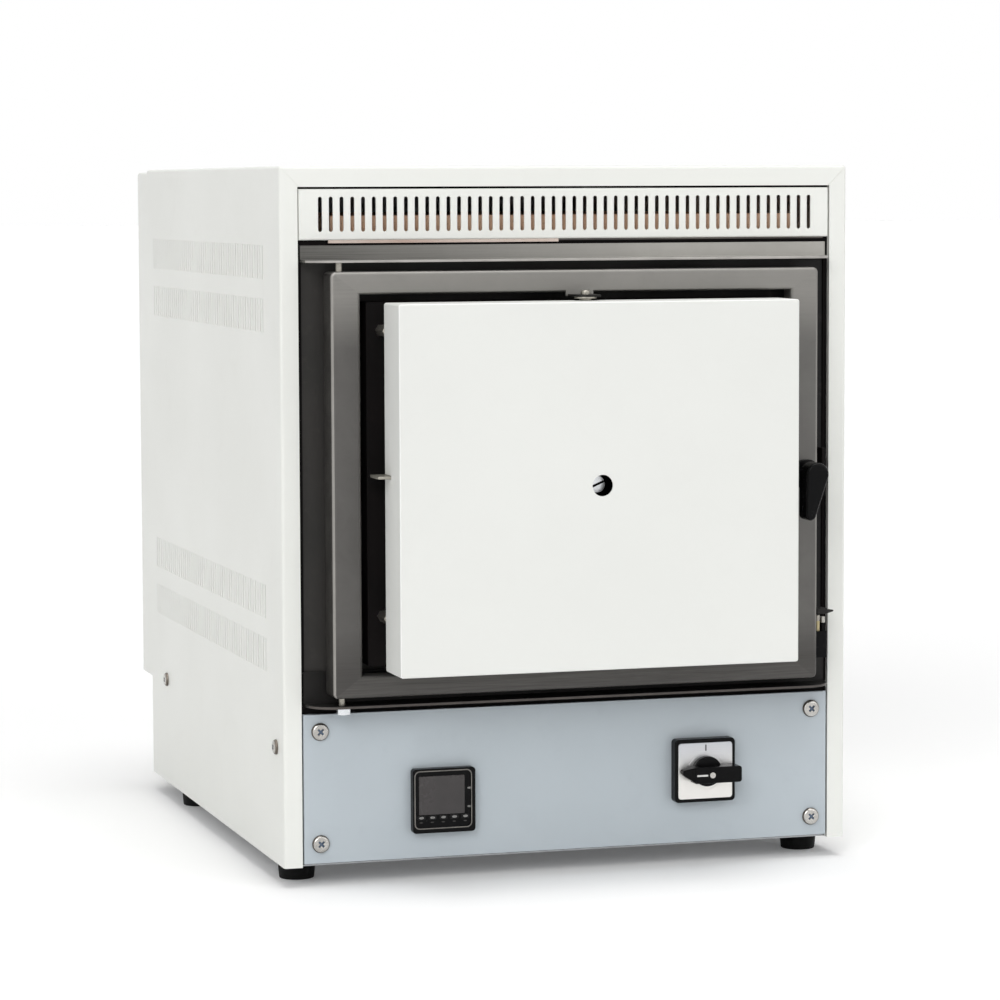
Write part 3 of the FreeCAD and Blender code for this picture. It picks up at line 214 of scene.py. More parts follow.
def polish(piece, width=0.0, segments=2, angle=35):
    # a small round on the sharp edges, and flat faces that shade flat
    if width:
        applyModifier(piece, "BEVEL", width=width * mm, segments=segments, limit_method="ANGLE",
                      angle_limit=radians(angle), use_clamp_overlap=True)
    focus(piece)
    bpy.ops.object.shade_smooth_by_angle(angle=radians(angle))
    applyModifier(piece, "WEIGHTED_NORMAL", keep_sharp=True)
    return piece


def refit(piece, low, high):
    # the same shape stretched to a new box
    points = [vertex.co / mm for vertex in piece.data.vertices]
    oldLow = Vector([min(point[axis] for point in points) for axis in range(3)])
    oldHigh = Vector([max(point[axis] for point in points) for axis in range(3)])
    growth = [(high[axis] - low[axis]) / (oldHigh[axis] - oldLow[axis]) for axis in range(3)]
    focus(piece)
    bpy.ops.object.mode_set(mode="EDIT")
    bpy.ops.mesh.select_all(action="SELECT")
    bpy.ops.transform.resize(value=growth, center_override=oldLow * mm)
    bpy.ops.transform.translate(value=(Vector(low) - oldLow) * mm)
    finishEdit()
    return piece


def moveFaces(piece, wanted, shift):
    pickFaces(piece, wanted)
    bpy.ops.transform.translate(value=Vector(shift) * mm)
    finishEdit()


def hullOf(pieces, name):
    # one convex body around some pieces
    body = joinPieces(pieces, name)
    focus(body)
    bpy.ops.object.mode_set(mode="EDIT")
    bpy.ops.mesh.select_all(action="SELECT")
    bpy.ops.mesh.convex_hull()
    bpy.ops.mesh.dissolve_limited(angle_limit=radians(1))
    finishEdit()
    return body


def turned(piece, angles, place=(0, 0, 0)):
    # turns a piece about the origin, by degrees about X, Y and Z, and then moves it
    piece.rotation_euler = [radians(angle) for angle in angles]
    piece.location = Vector(place) * mm
    return settle(piece, piece.name)


def onFolds(low, high, folds):
    # picks the edges of a box where these pairs of sides meet
    return lambda a, b, bend: touching((a, b), low, high) in folds


def sharpUnder(axis, limit):
    # picks the sharp edges that lie no further along an axis than the limit
    return lambda a, b, bend: bend > sharpBend and max(getattr(a, axis), getattr(b, axis)) < limit + touch


def sharpOver(axis, limit):
    # picks the sharp edges that lie at the limit or further along an axis
    return lambda a, b, bend: bend > sharpBend and min(getattr(a, axis), getattr(b, axis)) > limit - touch


def facing(axis, way):
    # picks the faces that look along an axis, forward for 1 and backward for -1
    return lambda middle, normal: getattr(normal, axis) * way > 0.9


def roundedBlock(name, low, high, corner, rim):
    # a block that faces the door side, with rounded corners and a softened front rim
    low, high = Vector(low), Vector(high)
    block = startBox(name, low, high)
    bevelEdges(block, onFolds(low, high, frontCorners), corner, 5)
    bevelEdges(block, sharpUnder("y", low.y), rim, 3)
    return block


def copyOf(piece, name):
    twin = piece.copy()
    twin.data = piece.data.copy()
    twin.name = name
    twin.data.name = name
    bpy.context.scene.collection.objects.link(twin)
    return twin


def placeCopy(pattern, name, place, inward):
    # a pattern that points along +Z from the origin, put at a place and pointed inward
    twin = copyOf(pattern, name)
    turn = Vector((0, 0, 1)).rotation_difference(Vector(inward))
    twin.matrix_world = Matrix.Translation(Vector(place) * mm) @ turn.to_matrix().to_4x4()
    return settle(twin, name)


def paint(piece, finish):
    # one finish all over, given by its name
    piece.data.materials.clear()
    piece.data.materials.append(finishes[finish])


def paintFaces(piece, finish, wanted):
    # one more finish by its name, on the faces that wanted(middle, normal) picks
    piece.data.materials.append(finishes[finish])
    for face in piece.data.polygons:
        if wanted(face.center / mm, face.normal):
            face.material_index = len(piece.data.materials) - 1


def addPart(piece, part, finish):
    # a small part with its own finish, joined to a painted piece
    paint(part, finish)
    return joinPieces([piece, part], piece.name)


def rideWith(piece, node, finish=None):
    # moves with a node's body and takes the node's finish, unless it is painted already
    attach(piece, frame["nodes"][node]["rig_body"])
    if finish or not piece.data.materials:
        paint(piece, finish or slotOf[node])
    return piece


def standFor(piece, node, finish=None):
    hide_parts(node)
    return rideWith(piece, node, finish)


def softenedCopy(node, width, segments=2, finish=None):
    # the node's own shape with rounded edges
    source = frame["nodes"][node]
    clearSelection()
    piece = bpy.data.objects.new(node + ".soft", source.data.copy())
    bpy.context.scene.collection.objects.link(piece)
    piece.data.transform(source.matrix_world)
    focus(piece)
    bpy.ops.object.mode_set(mode="EDIT")
    bpy.ops.mesh.select_all(action="SELECT")
    bpy.ops.mesh.remove_doubles(threshold=0.00001)
    bpy.ops.mesh.dissolve_limited(angle_limit=radians(1))
    finishEdit()
    polish(piece, width, segments)
    return standFor(piece, node, finish)


# Finishes. A tone is a colour as the eye reads it on a screen, 0 to 255.

def tone(red, green, blue):
    def linear(value):
        share = value / 255
        return share / 12.92 if share <= 0.04045 else ((share + 0.055) / 1.055) ** 2.4
    return (linear(red), linear(green), linear(blue), 1.0)


def feed(tree, node, inputs):
    # each input takes a link from another node, or a plain value
    for title, value in inputs.items():
        if isinstance(value, bpy.types.NodeSocket):
            tree.links.new(value, node.inputs[title])
        else:
            node.inputs[title].default_value = value


def addNode(tree, kind, inputs, **settings):
    node = tree.nodes.new("ShaderNode" + kind)
    for setting, value in settings.items():
        setattr(node, setting, value)
    feed(tree, node, inputs)
    return node


def newGroup(name, inputs, outputs):
    # an input without a value of its own is a position, the others are numbers
    tree = bpy.data.node_groups.new(name, "ShaderNodeTree")
    for title, value in inputs.items():
        kind = "NodeSocketVector" if value is None else "NodeSocketFloat"
        socket = tree.interface.new_socket(name=title, in_out="INPUT", socket_type=kind)
        if value is not None:
            socket.default_value = value
    for title in outputs:
        tree.interface.new_socket(name=title, in_out="OUTPUT", socket_type="NodeSocketFloat")
    return tree, tree.nodes.new("NodeGroupInput").outputs, tree.nodes.new("NodeGroupOutput")


def calc(tree, operation, first, second):
    return addNode(tree, "Math", {0: first, 1: second}, operation=operation).outputs[0]


def noise(tree, position, scale, detail=2.0, roughness=0.5, distortion=0.0):
    return addNode(tree, "TexNoise", {"Vector": position, "Scale": scale, "Detail": detail,
                                      "Roughness": roughness, "Distortion": distortion}).outputs[0]


def spread(tree, value, low, high, start=0.0, end=1.0):
    # what runs from start to end now runs from low to high
    return addNode(tree, "MapRange", {"Value": value, "From Min": start, "From Max": end,
                                      "To Min": low, "To Max": high}).outputs["Result"]


def surfaceGrainGroup():
    # fine grain, slow patches and handling marks, all from 0 to 1
    tree, given, result = newGroup("surfaceGrain", {"Position": None, "Grain Size": 1.0, "Patch Size": 80.0},
                                   ["Grain", "Patches", "Marks"])
    position = given["Position"]
    fine = calc(tree, "DIVIDE", 1000.0, given["Grain Size"])
    slow = calc(tree, "DIVIDE", 1000.0, given["Patch Size"])
    quicker = calc(tree, "MULTIPLY", slow, 3.3)
    feed(tree, result, {
        "Grain": noise(tree, position, fine, 2.0),
        "Patches": spread(tree, noise(tree, position, slow, 3.0), 0.0, 1.0, 0.34, 0.66),
        "Marks": spread(tree, noise(tree, position, quicker, 6.0, 0.62, 0.7), 0.0, 1.0, 0.55, 0.78),
    })
    return tree


def drawnStreaksGroup():
    # the fine lines that rolling or brushing leaves along X, and broader clouds
    tree, given, result = newGroup("drawnStreaks", {"Position": None, "Length": 60.0, "Width": 0.5},
                                   ["Streaks", "Clouds"])
    position = given["Position"]
    length = calc(tree, "MULTIPLY", given["Length"], mm)
    width = calc(tree, "MULTIPLY", given["Width"], mm)
    size = addNode(tree, "CombineXYZ", {"X": length, "Y": width, "Z": width})
    stretch = addNode(tree, "VectorMath", {0: position, 1: size.outputs[0]}, operation="DIVIDE")
    feed(tree, result, {
        "Streaks": spread(tree, noise(tree, stretch.outputs[0], 1.0, 4.0, 0.6), 0.0, 1.0, 0.3, 0.7),
        "Clouds": spread(tree, noise(tree, position, 35.0, 4.0, 0.6, 0.4), 0.0, 1.0, 0.32, 0.68),
    })
    return tree


def fibreFlecksGroup():
    # pits, matted fibres and slow stains in pressed board and fired clay
    tree, given, result = newGroup("fibreFlecks", {"Position": None, "Fibre Size": 2.0},
                                   ["Pits", "Fibres", "Stains"])
    position = given["Position"]
    fine = calc(tree, "DIVIDE", 1000.0, given["Fibre Size"])
    cells = addNode(tree, "TexVoronoi", {"Vector": position, "Scale": fine})
    feed(tree, result, {
        "Pits": spread(tree, cells.outputs["Distance"], 1.0, 0.0, 0.0, 0.35),
        "Fibres": noise(tree, position, fine, 6.0, 0.7, 1.2),
        "Stains": spread(tree, noise(tree, position, 22.0, 3.0), 0.0, 1.0, 0.36, 0.66),
    })
    return tree


groups = {build.__name__[:-5]: build() for build in (surfaceGrainGroup, drawnStreaksGroup, fibreFlecksGroup)}


def newMaterial(name):
    # a material, its tree, its shader and the position on the piece
    material = bpy.data.materials.new(name)
    material.use_nodes = True
    tree = material.node_tree
    return material, tree, tree.nodes["Principled BSDF"], addNode(tree, "TexCoord", {}).outputs["Object"]


def useGroup(tree, name, position, inputs):
    return addNode(tree, "Group", dict(inputs, Position=position), node_tree=groups[name]).outputs


def addGrain(tree, position, grain, patch):
    return useGroup(tree, "surfaceGrain", position, {"Grain Size": grain, "Patch Size": patch})


def mixTones(tree, factor, first, second):
    first, second = [tone(*value) if isinstance(value, tuple) else value for value in (first, second)]
    return addNode(tree, "Mix", {0: factor, 6: first, 7: second}, data_type="RGBA").outputs[2]


def bump(tree, height, depth):
    relief = {"Strength": 1.0, "Distance": depth * mm, "Height": height}
    return addNode(tree, "Bump", relief).outputs["Normal"]


def driftAcross(tree, position, drift, metal):
    # painted light and shade: the tone changes slowly from one place to another along an axis
    split = addNode(tree, "SeparateXYZ", {0: position})
    share = spread(tree, split.outputs[drift["axis"]], 0.0, 1.0, drift["start"] * mm, drift["end"] * mm)
    return mixTones(tree, share, drift["tone"], metal)


def powderCoat(name, look):
    # sprayed and baked paint: orange peel, slow shade changes and faint handling marks
    material, tree, shader, position = newMaterial(name)
    grain = addGrain(tree, position, look["grain"], look["patch"])
    coat = mixTones(tree, grain["Patches"], look["colour"], look["shade"])
    # painted light and shade along an axis, where the look has it
    if "drift" in look:
        coat = driftAcross(tree, position, look["drift"], coat)
    dull = calc(tree, "MULTIPLY", grain["Marks"], look["roughness"] * 0.3)
    base = spread(tree, grain["Patches"], look["roughness"] * 0.9, look["roughness"] * 1.1)
    feed(tree, shader, {
        "Base Color": mixTones(tree, spread(tree, grain["Marks"], 0.0, look["marks"]), coat, look["soiled"]),
        "Roughness": calc(tree, "ADD", base, dull),
        "Specular IOR Level": look["shine"],
        "Normal": bump(tree, grain["Grain"], look["peel"]),
    })
    return material


def drawnMetal(name, look):
    # bare or plated metal with drawn lines, clouds in its plating and dulled marks
    material, tree, shader, position = newMaterial(name)
    lines = useGroup(tree, "drawnStreaks", position, {"Length": look["length"], "Width": look["width"]})
    grain = addGrain(tree, position, 1.4, 45.0)
    metal = mixTones(tree, lines["Clouds"], look["colour"], look["shade"])
    # painted light along an axis, then painted shade towards the bottom, where a look has them
    for drift in ("drift", "lowDrift"):
        if drift in look:
            metal = driftAcross(tree, position, look[drift], metal)
    lined = spread(tree, lines["Streaks"], 0.0, look["contrast"])
    rough = spread(tree, lines["Streaks"], look["roughness"] * 0.85, look["roughness"] * 1.15)
    feed(tree, shader, {
        "Base Color": mixTones(tree, lined, metal, look["line"]),
        "Metallic": look["metallic"],
        "Roughness": calc(tree, "ADD", rough, calc(tree, "MULTIPLY", grain["Marks"], 0.12)),
        "Normal": bump(tree, lines["Streaks"], look["depth"]),
    })
    return material


def mouldedPlastic(name, look):
    # spark-eroded mould grain, with a trace of dust in the dull places
    material, tree, shader, position = newMaterial(name)
    grain = addGrain(tree, position, look["grain"], look["patch"])
    body = mixTones(tree, grain["Patches"], look["colour"], look["shade"])
    rough = spread(tree, grain["Patches"], look["roughness"] * 0.88, look["roughness"] * 1.12)
    feed(tree, shader, {
        "Base Color": mixTones(tree, spread(tree, grain["Marks"], 0.0, look["dust"]), body, look["dusty"]),
        "Roughness": calc(tree, "ADD", rough, calc(tree, "MULTIPLY", grain["Marks"], 0.15)),
        "Specular IOR Level": look["shine"],
        "Normal": bump(tree, grain["Grain"], look["depth"]),
    })
    return material


def firedBoard(name, look):
    # matted fibre board or fired clay with pits and stains
    material, tree, shader, position = newMaterial(name)
    flecks = useGroup(tree, "fibreFlecks", position, {"Fibre Size": look["fibre"]})
    board = mixTones(tree, flecks["Stains"], look["colour"], look["shade"])
    height = calc(tree, "SUBTRACT", flecks["Fibres"], calc(tree, "MULTIPLY", flecks["Pits"], 0.6))
    feed(tree, shader, {
        "Base Color": mixTones(tree, spread(tree, flecks["Pits"], 0.0, look["pits"]), board, look["pit"]),
        "Roughness": spread(tree, flecks["Fibres"], 0.78, 0.98),
        "Specular IOR Level": 0.25,
        "Normal": bump(tree, height, look["depth"]),
    })
    return material


# a span of painted light and shade along an axis, with the painted tone at its start
def driftFrom(axis, start, end, red, green, blue):
    return {"axis": axis, "start": start, "end": end, "tone": (red, green, blue)}


# Each look gives what differs from the plain look of its kind. One with a slot is the finish of a CAD slot.

plainPaint = {"marks": 0.1, "grain": 1.3, "roughness": 0.42, "peel": 0.028, "shine": 0.5}
paints = {
    "whiteCoat": {"slot": "white_paint", "colour": (241, 242, 237), "shade": (239, 240, 235),
                  "soiled": (226, 225, 221), "patch": 120.0},
    "coverCoat": {"colour": (235, 236, 232), "shade": (233, 234, 230), "soiled": (224, 223, 219),
                  "patch": 140.0},
    # the cover's rim painted lighter: painted highlight
    "rimCoat": {"colour": (254, 254, 253), "shade": (252, 252, 251), "soiled": (240, 240, 238),
                "patch": 60.0, "roughness": 0.36, "peel": 0.01},
    "panelCoat": {"slot": "panel_paint", "colour": (190, 199, 205), "shade": (187, 196, 202),
                  "soiled": (168, 176, 183), "marks": 0.14, "grain": 0.9, "patch": 90.0,
                  "roughness": 0.48, "peel": 0.02},
    # the front plate is painted darker towards its right end: painted shadow
    "plateCoat": {"slot": "dark_steel", "colour": (58, 56, 54), "shade": (52, 51, 49), "soiled": (80, 77, 73),
                  "marks": 0.35, "grain": 1.1, "patch": 50.0, "roughness": 0.5, "peel": 0.02,
                  "shine": 0.25, "drift": driftFrom("X", 186.0, 120.0, 14, 13, 13)},
    # a black paint for parts that stand in shade: painted shadow
    "sootCoat": {"colour": (14, 12, 12), "shade": (20, 17, 17), "soiled": (34, 30, 29), "marks": 0.4,
                 "grain": 1.1, "patch": 40.0, "roughness": 0.7, "peel": 0.02, "shine": 0.1},
}
plainMetal = {"contrast": 0.3, "width": 0.4, "roughness": 0.4, "metallic": 0.75, "depth": 0.002}
# the frame's drawn lines, and painted shade that darkens the frame towards the bottom
wideLines = {"contrast": 0.18, "length": 40.0, "width": 0.9, "roughness": 0.46,
             "lowDrift": driftFrom("Z", 160.0, 192.0, 72, 70, 68)}
# painted light: the uprights grow lighter towards the top, to the tone of the top rail
barLook = dict(wideLines, drift=driftFrom("Z", 432.0, 396.0, 132, 130, 126))
metals = {
    "doorMetal": dict(wideLines, slot="door_steel", colour=(134, 132, 128), shade=(130, 128, 124),
                      line=(144, 142, 138)),
    # a lighter metal for the frame's left bend: painted highlight
    "bendMetal": {"colour": (150, 147, 143), "shade": (138, 135, 131), "line": (164, 161, 157),
                  "contrast": 0.2, "length": 20.0, "width": 0.8},
    # the uprights are the frame's metal painted darker than the rails: painted shade
    "barMetal": dict(barLook, colour=(98, 96, 94), shade=(90, 88, 86), line=(108, 106, 104)),
    "rightBarMetal": dict(barLook, colour=(102, 101, 98), shade=(96, 94, 92), line=(118, 116, 113)),
    # the frame's left side wall painted dark: painted shade
    "flankMetal": {"colour": (78, 76, 73), "shade": (54, 52, 50), "line": (72, 70, 67), "length": 30.0,
                   "width": 0.8, "roughness": 0.5, "metallic": 0.6, "depth": 0.003},
    # the upper hinge plate is painted darker towards its left end: painted shade
    "plateMetal": {"slot": "plate_steel", "colour": (162, 160, 155), "shade": (156, 154, 149),
                   "line": (170, 168, 163), "contrast": 0.2, "length": 60.0, "width": 0.7,
                   "metallic": 0.85, "depth": 0.003, "drift": driftFrom("X", -210.0, 70.0, 82, 81, 78)},
    # the plate steel painted dark, for parts that stand in shade: painted shade
    "lowerPlateMetal": {"colour": (32, 31, 30), "shade": (26, 25, 24), "line": (42, 40, 38),
                        "contrast": 0.35, "length": 60.0, "width": 0.7, "roughness": 0.5,
                        "metallic": 0.6, "depth": 0.003},
    "edgeMetal": {"colour": (172, 169, 165), "shade": (146, 143, 139), "line": (196, 193, 189),
                  "length": 14.0, "width": 0.5, "roughness": 0.34, "metallic": 0.85},
    # the edge metal painted darker, for edges in shade: painted shade
    "lowerEdgeMetal": {"colour": (86, 81, 78), "shade": (66, 62, 60), "line": (100, 95, 91),
                       "length": 14.0, "width": 0.5},
    "strapMetal": {"colour": (178, 174, 164), "shade": (160, 156, 146), "line": (192, 188, 178),
                   "length": 12.0, "metallic": 0.8, "depth": 0.003},
    "zincSheet": {"slot": "zinc_sheet", "colour": (176, 178, 180), "shade": (158, 161, 164),
                  "line": (192, 194, 196), "length": 110.0, "width": 0.8, "metallic": 0.9, "depth": 0.003},
    "screwZinc": {"slot": "zinc_screws", "colour": (192, 190, 186), "shade": (146, 142, 136),
                  "line": (220, 219, 216), "contrast": 0.35, "length": 2.0, "roughness": 0.26,
                  "metallic": 1.0},
    # darker zinc for the screw heads' rims: painted shade
    "rimZinc": {"colour": (112, 104, 96), "shade": (84, 78, 72), "line": (148, 140, 130), "length": 3.0,
                "width": 0.3, "roughness": 0.3, "metallic": 0.9},
    # bluish and dark zinc for the cross recesses: painted reflection and shade
    "recessZinc": {"colour": (96, 112, 132), "shade": (62, 68, 78), "line": (130, 146, 166),
                   "contrast": 0.4, "length": 2.0, "width": 0.3, "roughness": 0.3, "metallic": 0.8},
    "nutZinc": {"colour": (230, 233, 236), "shade": (206, 208, 210), "line": (240, 242, 244),
                "length": 3.0, "width": 0.3, "roughness": 0.24, "metallic": 0.9},
    "hangerZinc": {"colour": (168, 164, 154), "shade": (122, 118, 108), "line": (206, 202, 194),
                   "contrast": 0.4, "length": 4.0, "roughness": 0.3, "metallic": 0.9},
    "yellowZinc": {"slot": "yellow_zinc", "colour": (176, 166, 132), "shade": (158, 144, 106),
                   "line": (196, 188, 156), "contrast": 0.35, "length": 8.0, "roughness": 0.32,
                   "metallic": 0.95, "depth": 0.003},
    "heatingWire": {"slot": "heating_alloy", "colour": (96, 90, 84), "shade": (74, 68, 64),
                    "line": (120, 112, 104), "contrast": 0.4, "length": 6.0, "roughness": 0.55,
                    "metallic": 0.8, "depth": 0.004},
    # the switch plate is painted darker and bluer towards the top: painted shade and reflection
    "silverPlate": {"slot": "plate_aluminium", "colour": (232, 230, 226), "shade": (226, 224, 220),
                    "line": (240, 238, 234), "length": 30.0, "width": 0.25, "roughness": 0.34,
                    "metallic": 0.85, "drift": driftFrom("Z", 94.0, 66.0, 184, 187, 194)},
}
plainPlastic = {"dust": 0.2, "grain": 0.3, "patch": 4.0, "roughness": 0.5, "depth": 0.001, "shine": 0.5}
plastics = {
    "blackPlastic": {"slot": "black_plastic", "colour": (9, 9, 10), "shade": (12, 12, 13),
                     "dusty": (40, 39, 39), "dust": 0.1, "grain": 0.35, "patch": 25.0, "roughness": 0.2,
                     "depth": 0.003, "shine": 0.09},
    "screenPlastic": {"slot": "screen_plastic", "colour": (74, 71, 71), "shade": (68, 66, 66),
                      "dusty": (86, 83, 82), "dust": 0.12, "grain": 0.5, "patch": 18.0,
                      "roughness": 0.3, "shine": 0.2},
    "keyPlastic": {"slot": "key_plastic", "colour": (13, 13, 14), "shade": (18, 18, 19),
                   "dusty": (46, 45, 45), "dust": 0.12, "patch": 6.0, "roughness": 0.24, "depth": 0.002,
                   "shine": 0.2},
    "markWhite": {"colour": (222, 222, 220), "shade": (204, 204, 202), "dusty": (176, 176, 174)},
    "markSilver": {"colour": (158, 157, 155), "shade": (120, 119, 117), "dusty": (130, 129, 127),
                   "patch": 2.0, "shine": 0.2},
    "markGrey": {"colour": (66, 64, 63), "shade": (58, 56, 55), "dusty": (80, 78, 77), "shine": 0.2},
    "rimPlastic": {"colour": (134, 130, 124), "shade": (102, 99, 95), "dusty": (150, 147, 142),
                   "patch": 14.0, "roughness": 0.3},
    "palePlastic": {"slot": "pale_plastic", "colour": (214, 212, 204), "shade": (204, 201, 192),
                    "dusty": (180, 176, 166), "grain": 0.5, "patch": 20.0, "roughness": 0.48,
                    "depth": 0.006},
    "greyPlastic": {"slot": "grey_plastic", "colour": (112, 114, 116), "shade": (102, 104, 106),
                    "dusty": (138, 138, 136), "dust": 0.25, "grain": 0.5, "patch": 22.0, "depth": 0.008},
    "footRubber": {"slot": "rubber", "colour": (14, 14, 15), "shade": (19, 19, 19), "dusty": (52, 50, 48),
                   "grain": 0.6, "patch": 12.0, "roughness": 0.72, "depth": 0.015, "shine": 0.15},
}
plainBoard = {"pits": 0.4}
boards = {
    "fibreBoard": {"slot": "fibre_board", "colour": (240, 204, 176), "shade": (224, 186, 158),
                   "pit": (160, 128, 106), "fibre": 2.2, "depth": 0.12},
    "liningBoard": {"colour": (226, 210, 200), "shade": (206, 182, 170), "pit": (160, 132, 118),
                    "fibre": 1.4, "depth": 0.05},
    "firedClay": {"slot": "muffle_ceramic", "colour": (222, 206, 182), "shade": (204, 184, 156),
                  "pit": (158, 136, 108), "pits": 0.35, "fibre": 1.6, "depth": 0.06},
}
kinds = ((powderCoat, plainPaint, paints), (drawnMetal, plainMetal, metals),
         (mouldedPlastic, plainPlastic, plastics), (firedBoard, plainBoard, boards))

finishes = {}
for make, plain, looks in kinds:
    for name, look in looks.items():
        finishes[look.get("slot", name)] = make(name, dict(plain, **look))
for name, node in frame["nodes"].items():
    paint(node, slotOf[name])
# painted shadow: the front frame and the plug tray are painted black
for name in ("front_frame", "plug_tray"):
    paint(frame["nodes"][name], "sootCoat")
print("finishes ready:", len(finishes))


# Camera, light and floor

view = {"place": (-0.83674, -2.78625, 0.50995), "yaw": 16.954, "pitch": -4.8725, "roll": -0.2093,
        "lens": 131.31}


def addCamera():
    lens = bpy.data.cameras.new("camera")
    lens.sensor_fit = "HORIZONTAL"
    lens.sensor_width = 36
    lens.lens = view["lens"]
    camera = bpy.data.objects.new("camera", lens)
    bpy.context.scene.collection.objects.link(camera)
    heading = Matrix.Rotation(radians(-view["yaw"]), 4, "Z")
    tilt = Matrix.Rotation(radians(90 + view["pitch"]), 4, "X")
    roll = Matrix.Rotation(radians(view["roll"]), 4, "Z")
    camera.matrix_world = Matrix.Translation(view["place"]) @ heading @ tilt @ roll
    bpy.context.scene.camera = camera


def seenDirectly(tree):
    # 1 for what the camera sees, itself or in a mirror or through glass
    path = addNode(tree, "LightPath", {})
    seen = calc(tree, "ADD", path.outputs["Is Camera Ray"], path.outputs["Is Glossy Ray"])
    seen = calc(tree, "ADD", seen, path.outputs["Is Transmission Ray"])
    return calc(tree, "MINIMUM", seen, 1.0)


# The floor grows brighter between the near and the far distance, so that no horizon shows.
studio = {"ambient": 0.26, "floorTone": (252, 252, 252), "floorLift": 0.08, "farLift": 0.145,
          "near": 0.8, "far": 2.4, "aim": (0, 0, 0.25), "floorSize": 60}
lights = {
    "keySun": {"kind": "SUN", "place": (-1.7, -2.25, 1.9), "angle": radians(35), "energy": 0.74},
    "fillSun": {"kind": "SUN", "place": (1.6, -1.9, 1.8), "angle": radians(60), "energy": 0.27},
    "topSun": {"kind": "SUN", "place": (0.1, -0.3, 3.25), "angle": radians(40), "energy": 1.55},
    "keyLamp": {"kind": "AREA", "place": (-1.7, -2.6, 2.1), "shape": "RECTANGLE", "size": 1.8,
                "size_y": 1.4, "energy": 12},
    "fillLamp": {"kind": "AREA", "place": (1.9, -2.4, 1.5), "shape": "RECTANGLE", "size": 1.4,
                 "size_y": 1.4, "energy": 6},
}


def addLight(name, look):
    # every light points at the same spot
    settings = dict(look)
    light = bpy.data.lights.new(name, settings.pop("kind"))
    place = Vector(settings.pop("place"))
    for setting, value in settings.items():
        setattr(light, setting, value)
    lamp = bpy.data.objects.new(name, light)
    bpy.context.scene.collection.objects.link(lamp)
    turn = (Vector(studio["aim"]) - place).to_track_quat("-Z", "Y")
    lamp.matrix_world = Matrix.Translation(place) @ turn.to_matrix().to_4x4()


def addWorld():
    world = bpy.data.worlds.new("studio")
    bpy.context.scene.world = world
    world.use_nodes = True
    tree = world.node_tree
    soft = tree.nodes["Background"]
    feed(tree, soft, {"Color": (1, 1, 1, 1), "Strength": studio["ambient"]})
    white = addNode(tree, "Background", {"Color": (1, 1, 1, 1), "Strength": 1.0})
    mix = addNode(tree, "MixShader", {0: seenDirectly(tree), 1: soft.outputs[0], 2: white.outputs[0]})
    feed(tree, tree.nodes["World Output"], {"Surface": mix.outputs[0]})


def addFloor():
    clearSelection()
    bpy.ops.mesh.primitive_plane_add(size=studio["floorSize"], location=(0, studio["floorSize"] / 3, 0))
    floor = settle(bpy.context.object, "studioFloor")
    material, tree, shader, position = newMaterial("floorSheet")
    feed(tree, shader, {"Base Color": tone(*studio["floorTone"]), "Roughness": 0.9,
                        "Specular IOR Level": 0.0})
    away = addNode(tree, "VectorMath", {0: position}, operation="LENGTH").outputs["Value"]
    lift = spread(tree, away, studio["floorLift"], studio["farLift"], studio["near"], studio["far"])
    glow = addNode(tree, "Emission", {"Strength": calc(tree, "MULTIPLY", seenDirectly(tree), lift)})
    both = addNode(tree, "AddShader", {0: shader.outputs[0], 1: glow.outputs[0]})
    feed(tree, tree.nodes["Material Output"], {"Surface": both.outputs[0]})
    floor.data.materials.append(material)


bpy.context.scene.view_settings.view_transform = "Standard"
addCamera()
addWorld()
for name, look in lights.items():
    addLight(name, look)
addFloor()
print("camera and studio ready")


# The white casing

casing = {"bend": 2.5, "sheet": 1.2, "flange": 15.0, "sideFlange": 13.8, "lipDepth": 5.5, "lipGap": 0.3,
          "slotWidth": 3.0, "sideSlotWidth": 2.0, "slotHeight": 25.4, "slotPitch": 8.06, "slotsPerBand": 50,
          "slotStart": 52.0, "bands": (154.0, 193.4, 405.0, 444.4), "mitreWidth": 0.5, "mitreDepth": 0.4,
          "mitreHalf": 13}


def slotCutter(low, high, axis):
    # one punched slot with round ends, through a sheet that faces along the axis
    cutter = startBox("slotCutter", low, high)
    width = abs(high[1 - axis] - low[1 - axis])
    bevelEdges(cutter, lambda a, b, bend: abs(a[axis] - b[axis]) > touch, width * roundEnd, 3)
    return cutter


def slotRow(cutter, count, pitch, axis):
    step = [0.0, 0.0, 0.0]
    step[axis] = pitch * mm
    applyModifier(cutter, "ARRAY", count=count, use_relative_offset=False, use_constant_offset=True,
                  constant_offset_displace=step)
    return cutter


